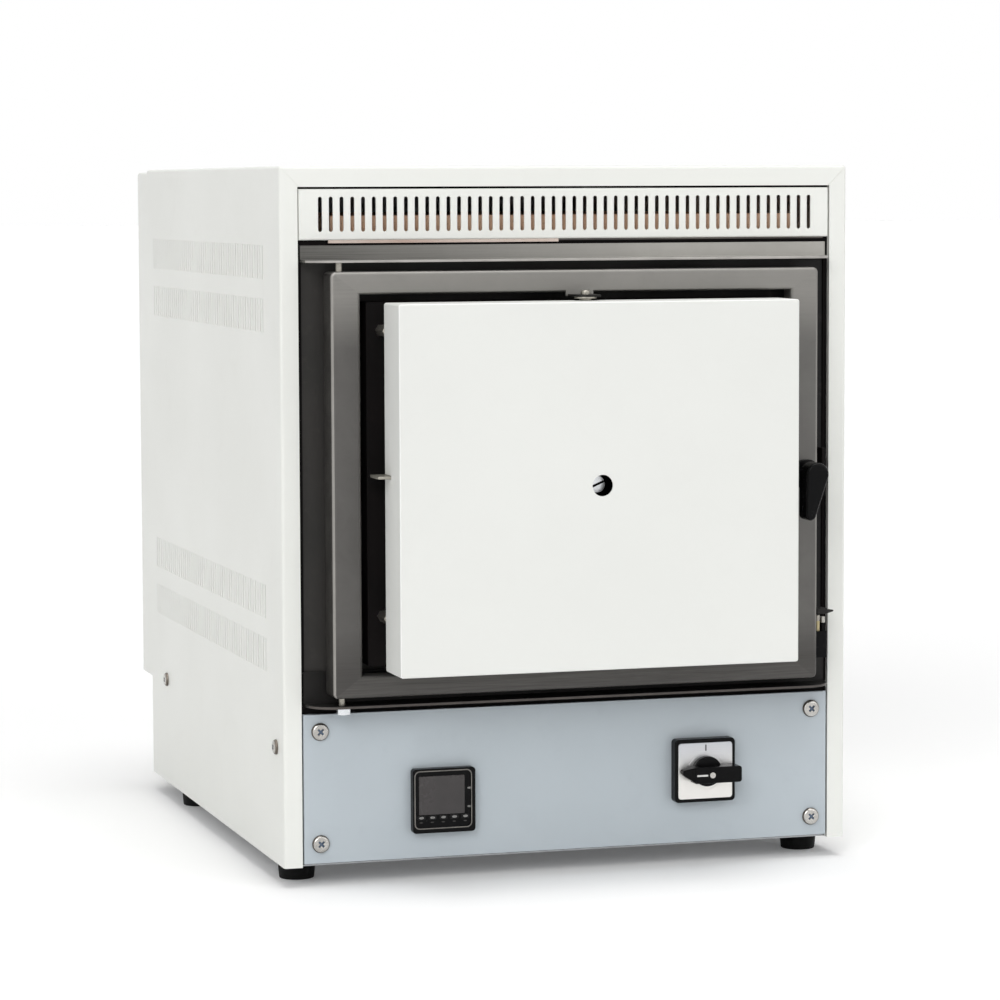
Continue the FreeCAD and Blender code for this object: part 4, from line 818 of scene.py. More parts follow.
def makeCasing():
    low, high = cadCorners("outer_casing")
    shell = startBox("outerCasing", low, high)
    folds = ({"left", "front"}, {"right", "front"}, {"front", "top"}, {"left", "top"}, {"right", "top"})
    bevelEdges(shell, onFolds(low, high, folds), casing["bend"], 4)
    dropFaces(shell, lambda middle, normal: normal.z < -0.9 or normal.y > 0.9)
    wallOf(shell, casing["sheet"])
    flange, sideFlange, sheet = casing["flange"], casing["sideFlange"], casing["sheet"]
    flangeLow = high.z - flange
    mouth = startBox("mouthCutter", (low.x + sideFlange, low.y - cutPast, low.z - cutPast),
                     (high.x - sideFlange, low.y + cutPast, flangeLow))
    half, reach = casing["mitreWidth"] / 2, casing["mitreHalf"]
    grooves = []
    for side in (-1, 1):
        groove = startBox("mitreCutter", (-reach, low.y - cutStart, -half),
                          (reach, low.y + casing["mitreDepth"], half))
        corner = (side * (high.x - flange / 2), 0, high.z - flange / 2)
        grooves.append(turned(groove, (0, -45 * side, 0), corner))
    cutAway(shell, [mouth])
    cutAway(shell, grooves)
    lips = []
    lipFront, lipBack = low.y + casing["lipGap"], low.y + casing["lipDepth"]
    for side in (-1, 1):
        edge = side * (high.x - sideFlange)
        left, right = sorted((edge, edge + side * sheet))
        lips.append(startBox("flangeLip", (left, lipFront, low.z), (right, lipBack, flangeLow)))
    lips.append(startBox("flangeLip", (low.x + sideFlange, lipFront, flangeLow),
                         (high.x - sideFlange, lipBack, flangeLow + sheet)))
    shell = joinPieces([shell] + lips, "outerCasing")
    slots = []
    front = low.y + casing["slotStart"]
    for side in (-1, 1):
        left, right = sorted((side * (high.x + cutPast), side * (high.x - cutPast)))
        for bottom in casing["bands"]:
            slot = slotCutter((left, front, bottom),
                              (right, front + casing["sideSlotWidth"], bottom + casing["slotHeight"]), 0)
            slots.append(slotRow(slot, casing["slotsPerBand"], casing["slotPitch"], 1))
    cutAway(shell, slots)
    standFor(polish(shell), "outer_casing")


makeCasing()
print("casing ready")


# The slotted grille above the door

grille = {"sheet": 1.2, "bend": 1.4, "slots": 48, "slotRise": 6.0, "widen": 1.3, "liningLow": -183.0,
          "liningHigh": -8.0, "liningInset": 4, "liningDrop": 2.2, "stripDrop": 1.2, "liningFront": 1.2,
          "liningBack": 3.0, "liningRise": 0.6}


def makeGrille():
    low, high = cadCorners("front_grille")
    low.x -= grille["widen"]
    high.x += grille["widen"]
    strip = startBox("frontGrille", low, high)
    folds = [{"front", end} for end in ("left", "right", "top", "bottom")]
    bevelEdges(strip, onFolds(low, high, folds), grille["bend"], 3)
    dropFaces(strip, facing("y", 1))
    wallOf(strip, grille["sheet"])
    start = -casing["slotPitch"] * (grille["slots"] - 1) / 2 - casing["slotWidth"] / 2
    bottom = low.z + grille["slotRise"]
    slot = slotCutter((start, low.y - cutPast, bottom),
                      (start + casing["slotWidth"], low.y + cutPast, bottom + casing["slotHeight"]), 1)
    cutAway(strip, [slotRow(slot, grille["slots"], casing["slotPitch"], 0)])
    strip = standFor(polish(strip, 0.2, 1), "front_grille")
    # the edge of the lining shows under the grille; further right the same edge is painted as dark sheet in
    # shade
    front, back = low.y + grille["liningFront"], low.y + grille["liningBack"]
    ends = (grille["liningLow"], grille["liningHigh"], high.x - grille["liningInset"])
    looks = ((grille["liningDrop"], "liningBoard"), (grille["stripDrop"], "lowerEdgeMetal"))
    for start, end, (drop, finish) in zip(ends, ends[1:], looks):
        lining = startBox("liningEdge", (start, front, low.z - drop),
                          (end, back, low.z + grille["liningRise"]))
        strip = addPart(strip, lining, finish)


makeGrille()
print("grille ready")


# The door: grey pressed frame and white cover

doorFrame = {"corner": 4.0, "bend": 2.4, "sheet": 1.5, "sideMember": 22.0, "rail": 16.4, "returnDepth": 14.0,
             "latchFront": -231.8, "latchBack": -228.2, "latchBelow": 6.2, "latchAbove": 22,
             "uprightShare": 0.125}
doorCover = {"corner": 1.8, "rim": 1.2, "sheet": 1.2, "lip": 14.0, "holeRadius": 7.8, "hangerRadius": 3.3,
             "hangerPlace": -263.5, "notchFront": -273.0, "notchInner": 148, "notchOuter": 156,
             "notchGap": 0.5, "rimDepth": 2}


def makeDoorFrame():
    low, high = cadCorners("door_frame")
    ring = startBox("doorFrame", low, high)
    sideMember, rail = doorFrame["sideMember"], doorFrame["rail"]
    middle = (low.z + high.z) / 2
    insetFaces(ring, facing("y", -1), [(rail, 0.0)])
    centre = Vector((0, low.y, middle))
    pickFaces(ring, lambda place, normal: normal.y < -0.9 and (place - centre).length < 1)
    widening = (high.x - sideMember) / (high.x - rail)
    bpy.ops.transform.resize(value=(widening, 1, 1), center_override=(0, 0, 0))
    bpy.ops.mesh.extrude_region_move(TRANSFORM_OT_translate={"value": (0, doorFrame["returnDepth"] * mm, 0)})
    bpy.ops.mesh.delete(type="FACE")
    finishEdit()
    dropFaces(ring, facing("y", 1))
    bevelEdges(ring, onFolds(low, high, frontCorners), doorFrame["corner"], 5)
    bevelEdges(ring, sharpUnder("y", low.y), doorFrame["bend"], 4)
    wallOf(ring, doorFrame["sheet"])
    latchSlot = startBox("latchCutter",
                         (high.x - cutPast, doorFrame["latchFront"], middle - doorFrame["latchBelow"]),
                         (high.x + cutPast, doorFrame["latchBack"], middle + doorFrame["latchAbove"]))
    cutAway(ring, [latchSlot])
    standFor(polish(ring), "door_frame")
    edge = low.x + doorFrame["bend"]
    nearMiddle = (high.z - low.z) * doorFrame["uprightShare"]

    def onUpright(place, normal):
        return normal.y < -0.95 and abs(place.z - middle) < nearMiddle

    # painted shade: the uprights' front faces are darker than the rails
    paintFaces(ring, "barMetal",
               lambda place, normal: place.x < low.x + sideMember and onUpright(place, normal))
    paintFaces(ring, "rightBarMetal",
               lambda place, normal: place.x > high.x - sideMember and onUpright(place, normal))
    # painted shade on the frame's left side wall
    paintFaces(ring, "flankMetal", lambda place, normal: place.x < edge and normal.x < -0.85)
    # painted highlight along the frame's left bend
    paintFaces(ring, "bendMetal",
               lambda place, normal: place.x < edge and -0.85 < normal.x < -0.2 and normal.y < -0.2)


strap = {"left": -161.5, "right": 153.4, "front": -272.5, "back": -250.0, "foot": -243.4, "low": 303.1,
         "high": 305.1, "bossRadius": 9.8, "bossFront": -249.5, "bossBack": -237.5, "webHalf": 8.5,
         "webLow": 290.0, "webDepth": 2}


def makeCrossbar():
    # a flat strap through the cover's side walls, with a web down to the boss of the adjusting bolt
    low, high = cadCorners("crossbar")
    middle = (low.z + high.z) / 2
    left, right, back, half = strap["left"], strap["right"], strap["back"], strap["webHalf"]
    bar = startBox("crossbar", (left, strap["front"], strap["low"]), (right, back, strap["high"]))
    bar = standFor(polish(bar, 0.4, 2), "crossbar", "strapMetal")
    web = startBox("barWeb", (-half, back - strap["webDepth"], strap["webLow"]), (half, back, strap["high"]))
    boss = startRod("barBoss", (0, strap["bossFront"], middle), (0, strap["bossBack"], middle),
                    strap["bossRadius"], count=6)
    # the strap's rear end is painted black: painted shadow
    feet = startBox("barShadowFoot", (left, back, strap["low"]), (right, strap["foot"], strap["high"]))
    bar = addPart(bar, joinPieces([web, boss], "barWeb"), "strapMetal")
    addPart(bar, feet, "sootCoat")


def makeDoorCover():
    low, high = cadCorners("door_cover")
    tray = startBox("doorCover", low, high)
    pickFaces(tray, facing("y", 1))
    bpy.ops.mesh.inset(thickness=doorCover["lip"] * mm)
    bpy.ops.mesh.delete(type="FACE")
    finishEdit()
    bevelEdges(tray, onFolds(low, high, frontCorners), doorCover["corner"], 4)
    bevelEdges(tray, sharpUnder("y", low.y), doorCover["rim"], 3)
    wallOf(tray, doorCover["sheet"])
    frameLow, frameHigh = cadCorners("door_frame")
    middle = (frameLow.z + frameHigh.z) / 2
    cutters = [
        startRod("holeCutter", (0, low.y - cutPast, middle), (0, low.y + cutPast, middle),
                 doorCover["holeRadius"]),
        startRod("holeCutter", (0, doorCover["hangerPlace"], high.z - cutPast),
                 (0, doorCover["hangerPlace"], high.z + cutPast), doorCover["hangerRadius"], count=24),
    ]
    for side in (-1, 1):
        left, right = sorted((side * doorCover["notchInner"], side * doorCover["notchOuter"]))
        cutters.append(startBox(
            "notchCutter", (left, doorCover["notchFront"], strap["low"] - doorCover["notchGap"]),
            (right, high.y + cutPast, strap["high"] + doorCover["notchGap"])))
    cutAway(tray, cutters)
    standFor(polish(tray, 0.25, 2, 50), "door_cover", "coverCoat")
    # painted highlight on the cover's front rim
    paintFaces(tray, "rimCoat", lambda place, normal: -0.93 < normal.y < -0.4
               and place.y < low.y + doorCover["rimDepth"] and (normal.x < -0.2 or normal.z > 0.2))


hanger = {"half": 10.6, "drop": 431.7, "rail": 437.6, "faceBack": 2.0, "proud": 0.03, "tabHalf": 9.0,
          "tabTop": 433.2, "tabFront": -269.5, "tabCorner": 4.0, "tabLap": 0.5, "bolt": (-2.2, -263.5),
          "headRadius": 3.6, "headTop": 436.6, "headRound": 1.6, "washerRadius": 8.2, "washerLow": 430.5,
          "spacerRadius": 4.4, "shankRadius": 3.0, "shankPast": 1, "nutRadius": 5.6, "nutLow": 423.6}


def makeHanger():
    # a tab bent out of the frame's top rail, and the bolt that the cover hangs on
    front = cadCorners("door_frame")[0].y
    coverTop = cadCorners("door_cover")[1].z
    drop = startBox("hangerDrop", (-hanger["half"], front - hanger["proud"], hanger["drop"]),
                    (hanger["half"], front + hanger["faceBack"], hanger["rail"]))
    drop = standFor(polish(drop, 0.3), "hanger_bracket", "door_steel")
    tab = startBox("hangerTab", (-hanger["tabHalf"], hanger["tabFront"], hanger["drop"]),
                   (hanger["tabHalf"], front + hanger["tabLap"], hanger["tabTop"]))
    bevelEdges(tab, lambda a, b, bend: abs(a.z - b.z) > touch and max(a.y, b.y) < hanger["tabFront"] + touch,
               hanger["tabCorner"], 4)
    # painted shade: the tab is in the dark plate steel
    addPart(drop, polish(tab, 0.2), "lowerPlateMetal")

    def ring(name, bottom, top, radius, count=40):
        return startRod(name, (*hanger["bolt"], bottom), (*hanger["bolt"], top), radius, count=count)

    head = ring("hangerHead", hanger["tabTop"], hanger["headTop"], hanger["headRadius"])
    bevelEdges(head, sharpOver("z", hanger["headTop"]), hanger["headRound"], 4)
    washer = ring("hangerWasher", hanger["washerLow"], hanger["drop"], hanger["washerRadius"])
    spacer = ring("hangerSpacer", coverTop, hanger["washerLow"], hanger["spacerRadius"])
    shank = ring("hangerShank", hanger["nutLow"] - hanger["shankPast"], hanger["tabTop"],
                 hanger["shankRadius"], 24)
    nut = ring("hangerNut", hanger["nutLow"], coverTop - doorCover["sheet"], hanger["nutRadius"], 6)
    bolt = joinPieces([head, washer, spacer, shank, nut], "hangerBolt")
    standFor(polish(bolt, 0.25), "hanger_bolt", "hangerZinc")


boltSlot = {"turn": 13.0, "angle": 24.0, "half": 5.2, "halfWidth": 0.8, "proud": 0.06, "depth": 0.5}


def makeCentreBolt():
    # the node's own shape, turned so that its slot lies as it does in the photograph
    low, high = cadCorners("centre_bolt")
    middle = Vector((0, low.y, (low.z + high.z) / 2))
    bolt = softenedCopy("centre_bolt", 0.35, finish="nutZinc")
    place = Matrix.Translation(middle * mm)
    bolt.data.transform(place @ Matrix.Rotation(radians(boltSlot["turn"]), 4, "Y") @ place.inverted())
    half, width = boltSlot["half"], boltSlot["halfWidth"]
    # the slot is a thin black box: painted shade in the recess
    dark = startBox("boltSlot", (-half, -boltSlot["proud"], -width), (half, boltSlot["depth"], width))
    addPart(bolt, turned(dark, (0, -boltSlot["angle"], 0), middle), "sootCoat")


makeDoorFrame()
makeDoorCover()
makeCrossbar()
makeHanger()
makeCentreBolt()
print("door ready")


# The handle

lever = {"topRadius": 8.8, "tipRadius": 4.0, "length": 30.2, "thickness": 16.0, "round": 2.2,
         "backRound": 1.0, "shift": -2.4, "tipShift": -5.2, "hubRadius": 8.2, "hubRound": 1.2, "hubLap": 0.5}
rose = {"left": 168.5, "right": 187.5, "below": 11.0, "above": 10.8, "corner": 7.5, "round": 0.9}


def makeHandle():
    low, high = cadCorners("door_handle")
    x = (low.x + high.x) / 2
    z = high.z - lever["topRadius"]
    faceBack = low.y + lever["thickness"]
    topX = x + lever["shift"]
    tipX, tipZ = topX + lever["tipShift"], z - lever["length"]
    ends = [startRod("leverEnd", (topX, low.y, z), (topX, faceBack, z), lever["topRadius"]),
            startRod("leverEnd", (tipX, low.y, tipZ), (tipX, faceBack, tipZ), lever["tipRadius"], count=32)]
    blade = hullOf(ends, "leverBlade")
    bevelEdges(blade, sharpUnder("y", low.y), lever["round"], 6)
    bevelEdges(blade, sharpOver("y", faceBack), lever["backRound"], 3)
    roseLow, roseHigh = cadCorners("handle_rose")
    axisZ = (roseLow.z + roseHigh.z) / 2
    hub = startRod("leverHub", (x, faceBack - lever["hubLap"], axisZ), (x, high.y, axisZ),
                   lever["hubRadius"])
    bevelEdges(hub, sharpOver("y", high.y), lever["hubRound"], 3)
    standFor(polish(joinPieces([blade, hub], "doorHandle")), "door_handle")
    block = roundedBlock("handleRose", (rose["left"], roseLow.y, axisZ - rose["below"]),
                         (rose["right"], roseHigh.y, axisZ + rose["above"]), rose["corner"], rose["round"])
    standFor(polish(block), "handle_rose")


makeHandle()
print("handle ready")


# Screws with a pan head and a cross recess

panScrew = {"height": 2.8, "round": 2.3, "shank": 2.5, "taper": 0.7, "length": 12.0, "cross": 1.5,
            "crossDepth": 1.6, "crossReach": 0.44, "rimShare": 0.7, "recessShare": 0.54,
            "recessTop": 0.12}


def makeScrew(name, radius):
    # the head stands at -Z, the shank goes to +Z
    top, half, reach = -panScrew["height"], panScrew["cross"] / 2, radius * panScrew["crossReach"]
    head = startRod(name, (0, 0, 0), (0, 0, top), radius, count=32)
    bevelEdges(head, sharpUnder("z", top), panScrew["round"], 6)
    arms = []
    for turn in (45, 135):
        arm = startBox("crossCutter", (-reach, -half, top - cutStart),
                       (reach, half, top + panScrew["crossDepth"]))
        arms.append(turned(arm, (0, 0, turn)))
    for arm in arms:
        cutAway(head, [arm])
    shank = startRod("shank", (0, 0, -sunk), (0, 0, panScrew["length"]), panScrew["shank"],
                     panScrew["shank"] * panScrew["taper"], count=12)
    screw = polish(joinPieces([head, shank], name), 0.15, 1)
    paint(screw, "zinc_screws")
    # painted shade on the heads' rims, and painted reflection and shade in the cross recess
    paintFaces(screw, "rimZinc", lambda place, normal: place.z < 0 and -0.72 < normal.z < 0.1
               and place.xy.length > radius * panScrew["rimShare"])
    paintFaces(screw, "recessZinc", lambda place, normal: top + panScrew["recessTop"] < place.z < 0
               and place.xy.length < radius * panScrew["recessShare"])
    return screw


def placeAll(pattern, places, name, node):
    # one copy of the pattern at each place, joined, and the pattern is gone
    copies = [placeCopy(pattern, pattern.name, place, inward) for place, inward in places]
    bpy.data.objects.remove(pattern)
    standFor(joinPieces(copies, name), node)


panelScrews = {"radius": 6.6, "seat": 2.6, "inset": 6.0}


def makePanelScrews():
    low, high = cadCorners("panel_screws")
    face, inset = low.y + panelScrews["seat"], panelScrews["inset"]
    places = [((x, face, z), (0, 1, 0)) for x in (low.x + inset, high.x - inset)
              for z in (low.z + inset, high.z - inset)]
    placeAll(makeScrew("panelScrew", panelScrews["radius"]), places, "panelScrews", "panel_screws")


foot = {"topRadius": 14.5, "bottomRadius": 13.0, "height": 15.0, "recess": 6.0, "recessDepth": 8.0}
casingScrews = {"radius": 5.6, "sideFront": 22.0, "sideHeight": 102.0, "bulkheadLap": 8.0,
                "coverInset": 12.0, "coverHeights": (120.0, 501.0)}


def makeCasingScrews():
    low, high = cadCorners("outer_casing")
    bulkheadFront = cadCorners("rear_bulkhead")[0].y
    feetLow, feetHigh = cadCorners("rubber_feet")
    coverBack = cadCorners("rear_cover")[1].y
    places = []
    for side in (-1, 1):
        for y in (low.y + casingScrews["sideFront"], bulkheadFront + casingScrews["bulkheadLap"]):
            places.append(((side * high.x, y, casingScrews["sideHeight"]), (-side, 0, 0)))
        for z in casingScrews["coverHeights"]:
            places.append(((side * (high.x - casingScrews["coverInset"]), coverBack, z), (0, -1, 0)))
        for y in (feetLow.y + foot["topRadius"], feetHigh.y - foot["topRadius"]):
            places.append(((side * (feetHigh.x - foot["topRadius"]), y, foot["recessDepth"]), (0, 0, 1)))
    placeAll(makeScrew("casingScrew", casingScrews["radius"]), places, "casingScrews", "casing_screws")


makePanelScrews()
makeCasingScrews()
print("screws ready")


# Rubber feet

def makeFeet():
    low, high = cadCorners("rubber_feet")
    inset = foot["topRadius"]
    pattern = startRod("foot", (0, 0, 0), (0, 0, foot["height"]), foot["bottomRadius"], inset, 48)
    insetFaces(pattern, facing("z", -1),
               [(foot["bottomRadius"] - foot["recess"], 0.0), (0.01, -foot["recessDepth"])])
    polish(pattern, 0.7, 3)
    places = [((x, y, 0), (0, 0, 1)) for x in (low.x + inset, high.x - inset)
              for y in (low.y + inset, high.y - inset)]
    placeAll(pattern, places, "rubberFeet", "rubber_feet")


makeFeet()
print("feet ready")


# The selector switch on the panel

selector = {"corner": 3.0, "rim": 1.0, "plateInset": 1.2, "plateCorner": 2.2, "plateRim": 0.3,
            "ringRadius": 14.4, "coreRadius": 13.8, "ringDepth": 0.35, "hubRadius": 11.4, "hubLength": 5.0,
            "barDepth": 10.0, "barLeft": -13.0, "barRight": 23.5, "barHalf": 6.1, "barDrop": 1.3,
            "barCorner": 2.0, "round": 0.9, "noseReach": 6.8, "noseShare": 0.3, "shaftRadius": 3.0,
            "screwRadius": 2.3, "screwProud": 0.5, "screwSlot": 0.3, "lineLeft": -12.4, "lineRight": -3.8,
            "lineHalf": 0.65, "tickLow": 15.1, "tickHigh": 19.8, "tickHalf": 0.45, "zeroReach": -18.5,
            "zeroRadius": 1.9, "zeroShare": 0.58, "mark": 0.15, "markDepth": 0.3, "barLap": 3.0,
            "noseInset": 1.0, "noseLap": 0.6, "noseShort": 0.5, "noseAim": 4, "noseRound": 0.8,
            "screwRim": 0.35, "slotReach": 3, "slotFloor": 0.2}


def makeSelectorPlate(x, z):
    low, high = cadCorners("switch_plate")
    inset, front = selector["plateInset"], low.y - selector["mark"]
    plate = roundedBlock("switchPlate", low + Vector((inset / 2, 0, inset)), high - Vector((inset, 0, inset)),
                         selector["plateCorner"], selector["plateRim"])
    ring = startRod("ringCutter", (x, low.y - cutStart, z), (x, low.y + selector["ringDepth"], z),
                    selector["ringRadius"])
    core = startRod("ringCore", (x, low.y - 2 * cutStart, z), (x, low.y + cutStart, z),
                    selector["coreRadius"])
    cutAway(ring, [core])
    cutAway(plate, [ring])
    plate = standFor(polish(plate), "switch_plate")
    tick = startBox("positionOne", (x - selector["tickHalf"], front, z + selector["tickLow"]),
                    (x + selector["tickHalf"], low.y + sunk, z + selector["tickHigh"]))
    zeroX, radius = x + selector["zeroReach"], selector["zeroRadius"]
    zero = startRod("positionZero", (zeroX, front, z), (zeroX, low.y + sunk, z), radius, count=32)
    cutAway(zero, [startRod("zeroCutter", (zeroX, front - cutStart, z), (zeroX, low.y + cutStart, z),
                            radius * selector["zeroShare"], count=32)])
    for mark in (tick, zero):
        plate = addPart(plate, mark, "markGrey")


def makeSelectorKnob(x, z):
    low, high = cadCorners("switch_knob")
    hubFront = low.y + selector["barDepth"]
    hubBack = hubFront + selector["hubLength"]
    hub = startRod("knobHub", (x, hubBack, z), (x, hubFront, z), selector["hubRadius"])
    bevelEdges(hub, sharpUnder("y", hubFront), selector["round"], 3)
    barZ, half = z - selector["barDrop"], selector["barHalf"]
    barLow = Vector((x + selector["barLeft"], low.y, barZ - half))
    barHigh = Vector((x + selector["barRight"], hubFront + selector["barLap"], barZ + half))
    bar = startBox("knobBar", barLow, barHigh)
    rightCorners = [{"right", "top"}, {"right", "bottom"}]
    bevelEdges(bar, onFolds(barLow, barHigh, rightCorners), selector["barCorner"], 4)
    bevelEdges(bar, sharpUnder("y", low.y), selector["round"], 4)
    noseFront, noseBack = low.y + selector["noseInset"], hubBack - selector["noseShort"]
    nose = startBox("knobNose", (barLow.x - selector["noseReach"], noseFront, barLow.z),
                    (barLow.x + selector["noseLap"], noseBack, barHigh.z))
    pickFaces(nose, facing("x", -1))
    aim = Vector((barLow.x, hubFront + selector["noseAim"], z))
    share = selector["noseShare"]
    bpy.ops.transform.resize(value=(1, share, share), center_override=aim * mm)
    finishEdit()
    polish(nose, selector["noseRound"], 3)
    shaft = startRod("knobShaft", (x, hubFront, z), (x, high.y, z), selector["shaftRadius"], count=24)
    knob = standFor(polish(joinPieces([hub, bar, nose, shaft], "switchKnob")), "switch_knob")
    markFront, markBack = low.y - selector["mark"], low.y + selector["markDepth"]
    line = startBox("pointerLine", (x + selector["lineLeft"], markFront, barZ - selector["lineHalf"]),
                    (x + selector["lineRight"], markBack, barZ + selector["lineHalf"]))
    knob = addPart(knob, line, "markWhite")
    front, width, reach = low.y - selector["screwProud"], selector["screwSlot"], selector["slotReach"]
    screw = startRod("knobScrew", (x, front, barZ), (x, markBack, barZ), selector["screwRadius"], count=32)
    bevelEdges(screw, sharpUnder("y", front), selector["screwRim"], 3)
    cutAway(screw, [startBox("slotCutter", (x - reach, low.y - cutStart, barZ - width),
                             (x + reach, low.y - selector["slotFloor"], barZ + width))])
    addPart(knob, polish(screw), "zinc_screws")


def makeSelector():
    low, high = cadCorners("switch_base")
    base = roundedBlock("switchBase", low, high, selector["corner"], selector["rim"])
    standFor(polish(base), "switch_base")
    low, high = cadCorners("switch_plate")
    x, z = (low.x + high.x) / 2, (low.z + high.z) / 2
    makeSelectorPlate(x, z)
    makeSelectorKnob(x, z)


makeSelector()
print("selector ready")


# The temperature controller

controller = {"corner": 2.6, "rim": 0.9, "recess": 1.2, "body": 44.6, "bezelDepth": 7.0, "lineLeft": 1.0,
              "lineRight": 2.8, "lineLow": 3.2, "lineTop": 1.4, "lineDepth": 0.6, "lineWidth": 0.7,
              "lineCorner": 3.4, "windowLeft": 4.6, "windowRight": 8.4, "windowLow": 13.8,
              "windowTop": 5.6, "windowCorner": 0.8, "windowRim": 0.25, "keys": 5, "keyHalf": 3.2,
              "keyRise": 2.6, "keyCorner": 1.2, "keyRim": 0.3, "markPitch": 8.45, "firstMark": -117.6,
              "keyMark": (48.1, 1.8, 0.9), "lowMark": (44.5, 1.3, 0.5), "sideMark": (1.9, 0.75),
              "sideMarkX": -80.2, "sideMarkHeights": (68.9, 55.1), "proud": 0.12, "inked": 0.05,
              "lineRim": 0.1, "lineGrowth": 0.5, "bodyLap": 0.1, "rearRim": 2.0, "rearTaper": 0.2,
              "rearDepth": 1.5}


def ovalMark(name, x, z, half, halfHeight, front, back):
    # a printed oval that stands a hair proud of its face
    oval = startRod(name, (0, front, 0), (0, back, 0), 1.0, count=20)
    return refit(oval, (x - half, front, z - halfHeight), (x + half, back, z + halfHeight))


def makeControllerCase(low, high, keyPlaces):
    face, proud = low.y, controller["proud"]
    bezelBack = face + controller["bezelDepth"]
    case = roundedBlock("controllerCase", low, (high.x, bezelBack, high.z), controller["corner"],
                        controller["rim"])
    lineLow = Vector((low.x + controller["lineLeft"], face - proud, low.z + controller["lineLow"]))
    lineHigh = Vector((high.x - controller["lineRight"], face + controller["lineDepth"],
                       high.z - controller["lineTop"]))
    width, corner = controller["lineWidth"], controller["lineCorner"]
    mouthLow = lineLow + Vector((width, -cutPast, width))
    mouthHigh = lineHigh + Vector((-width, controller["recess"] - controller["lineDepth"], -width))
    mouth = roundedBlock("mouthCutter", mouthLow, mouthHigh, corner, controller["lineRim"])
    line = roundedBlock("bezelLine", lineLow, lineHigh, corner + controller["lineGrowth"],
                        controller["lineRim"])
    cutAway(line, [copyOf(mouth, "mouthCopy")])
    cutAway(case, [mouth])
    gap = (high.x - low.x - controller["body"]) / 2
    body = startBox("controllerBody", (low.x + gap, bezelBack - controller["bodyLap"], low.z + gap),
                    (high.x - gap, high.y, high.z - gap))
    insetFaces(body, facing("y", 1), [(controller["rearRim"], 0.0),
                                      (controller["rearTaper"], -controller["rearDepth"])])
    case = standFor(polish(joinPieces([case, body], "controllerCase")), "controller_case")
    case = addPart(case, polish(line), "rimPlastic")
    floor = face + controller["recess"]
    depth = floor - controller["inked"], floor + sunk
    marks = [ovalMark("lowMark", x, *controller["lowMark"], *depth) for x in keyPlaces]
    case = addPart(case, joinPieces(marks, "lowMarks"), "markGrey")
    marks = [ovalMark("sideMark", controller["sideMarkX"], height, *controller["sideMark"], *depth)
             for height in controller["sideMarkHeights"]]
    addPart(case, joinPieces(marks, "sideMarks"), "markSilver")


def makeController():
    low, high = cadCorners("controller_case")
    keyPlaces = [controller["firstMark"] + controller["markPitch"] * index
                 for index in range(controller["keys"])]
    makeControllerCase(low, high, keyPlaces)
    windowLow, windowHigh = cadCorners("controller_window")
    window = roundedBlock(
        "controllerWindow",
        (low.x + controller["windowLeft"], windowLow.y, low.z + controller["windowLow"]),
        (high.x - controller["windowRight"], windowHigh.y, high.z - controller["windowTop"]),
        controller["windowCorner"], controller["windowRim"])
    standFor(polish(window), "controller_window")
    half, rise = controller["keyHalf"], controller["keyRise"]
    for number, x in enumerate(keyPlaces, 1):
        node = "controller_key_%d" % number
        keyLow, keyHigh = cadCorners(node)
        key = roundedBlock("controllerKey%d" % number, (x - half, keyLow.y, keyLow.z + rise),
                           (x + half, keyHigh.y, keyHigh.z + rise), controller["keyCorner"],
                           controller["keyRim"])
        key = standFor(polish(key), node)
        mark = ovalMark("keyMark", x, *controller["keyMark"], keyLow.y - controller["proud"],
                        keyLow.y + sunk)
        addPart(key, mark, "markSilver")


makeController()
print("controller ready")


# Pressed and turned pieces that keep their own shape, with softened edges

softened = {
    "rear_panel": 0.3, "front_plate": 0.3, "latch_spindle": 0.3, "base_tray": 0.4, "cable_gland": 0.5,
    "controller_clip": 0.4, "switch_contact_block": 0.6, "hinge_blocks": 0.5, "door_plug": 1.0,
    "hearth_plate": 1.0, "thermocouple_head": 0.6,
}
for node, width in softened.items():
    softenedCopy(node, width)
# painted shadow: the plug tray is painted black
softenedCopy("plug_tray", 0.5, finish="sootCoat")
print("softened pieces ready:", len(softened))


# Pieces whose shape or place is nearer the photograph than the plain solids are

panel = {"half": 204.9}
rearCover = {"half": 219.5, "plugs": (142.0, 479.0), "tab": 8.0, "plugRadius": 2.85, "plugDepth": 1.0}
hingePlates = {"lipTop": 159.0, "lipRim": 1.0, "edge": 1.7}
keeper = {"right": 199.0, "front": -232.5}
posts = {"half": 153.2, "rise": 8.2}


def makePanel():
    low, high = cadCorners("control_panel")
    refit(softenedCopy("control_panel", 0.5), (-panel["half"], low.y, low.z), (panel["half"], high.y, high.z))


def makeRearCover():
    low, high = cadCorners("rear_cover")
    half = rearCover["half"]
    cover = refit(softenedCopy("rear_cover", 0.5), (-half, low.y, low.z), (half, high.y, high.z))
    y = cadCorners("outer_casing")[1].y + rearCover["tab"]
    for side in (-1, 1):
        for z in rearCover["plugs"]:
            plug = startRod("rearPlug", (side * (half - rearCover["plugDepth"]), y, z),
                            (side * half, y, z), rearCover["plugRadius"], count=24)
            cover = addPart(cover, plug, "white_paint")


def makeHingePlates():
    # painted shade: the lower plate and its edge are painted darker than the upper ones
    lipEdge = {"upper": "edgeMetal", "lower": "lowerEdgeMetal"}
    plates = {"upper": softenedCopy("upper_hinge_plate", 0.3),
              "lower": softenedCopy("lower_hinge_plate", 0.3, finish="lowerPlateMetal")}
    top = cadCorners("lower_hinge_plate")[1].z
    moveFaces(plates["lower"], lambda place, normal: place.z > top - hingePlates["lipRim"],
              (0, 0, hingePlates["lipTop"] - top))
    for end, plate in plates.items():
        edge = cadCorners(end + "_hinge_plate")[0].z + hingePlates["edge"]
        paintFaces(plate, lipEdge[end], lambda place, normal: normal.y < -0.3 and place.z < edge)


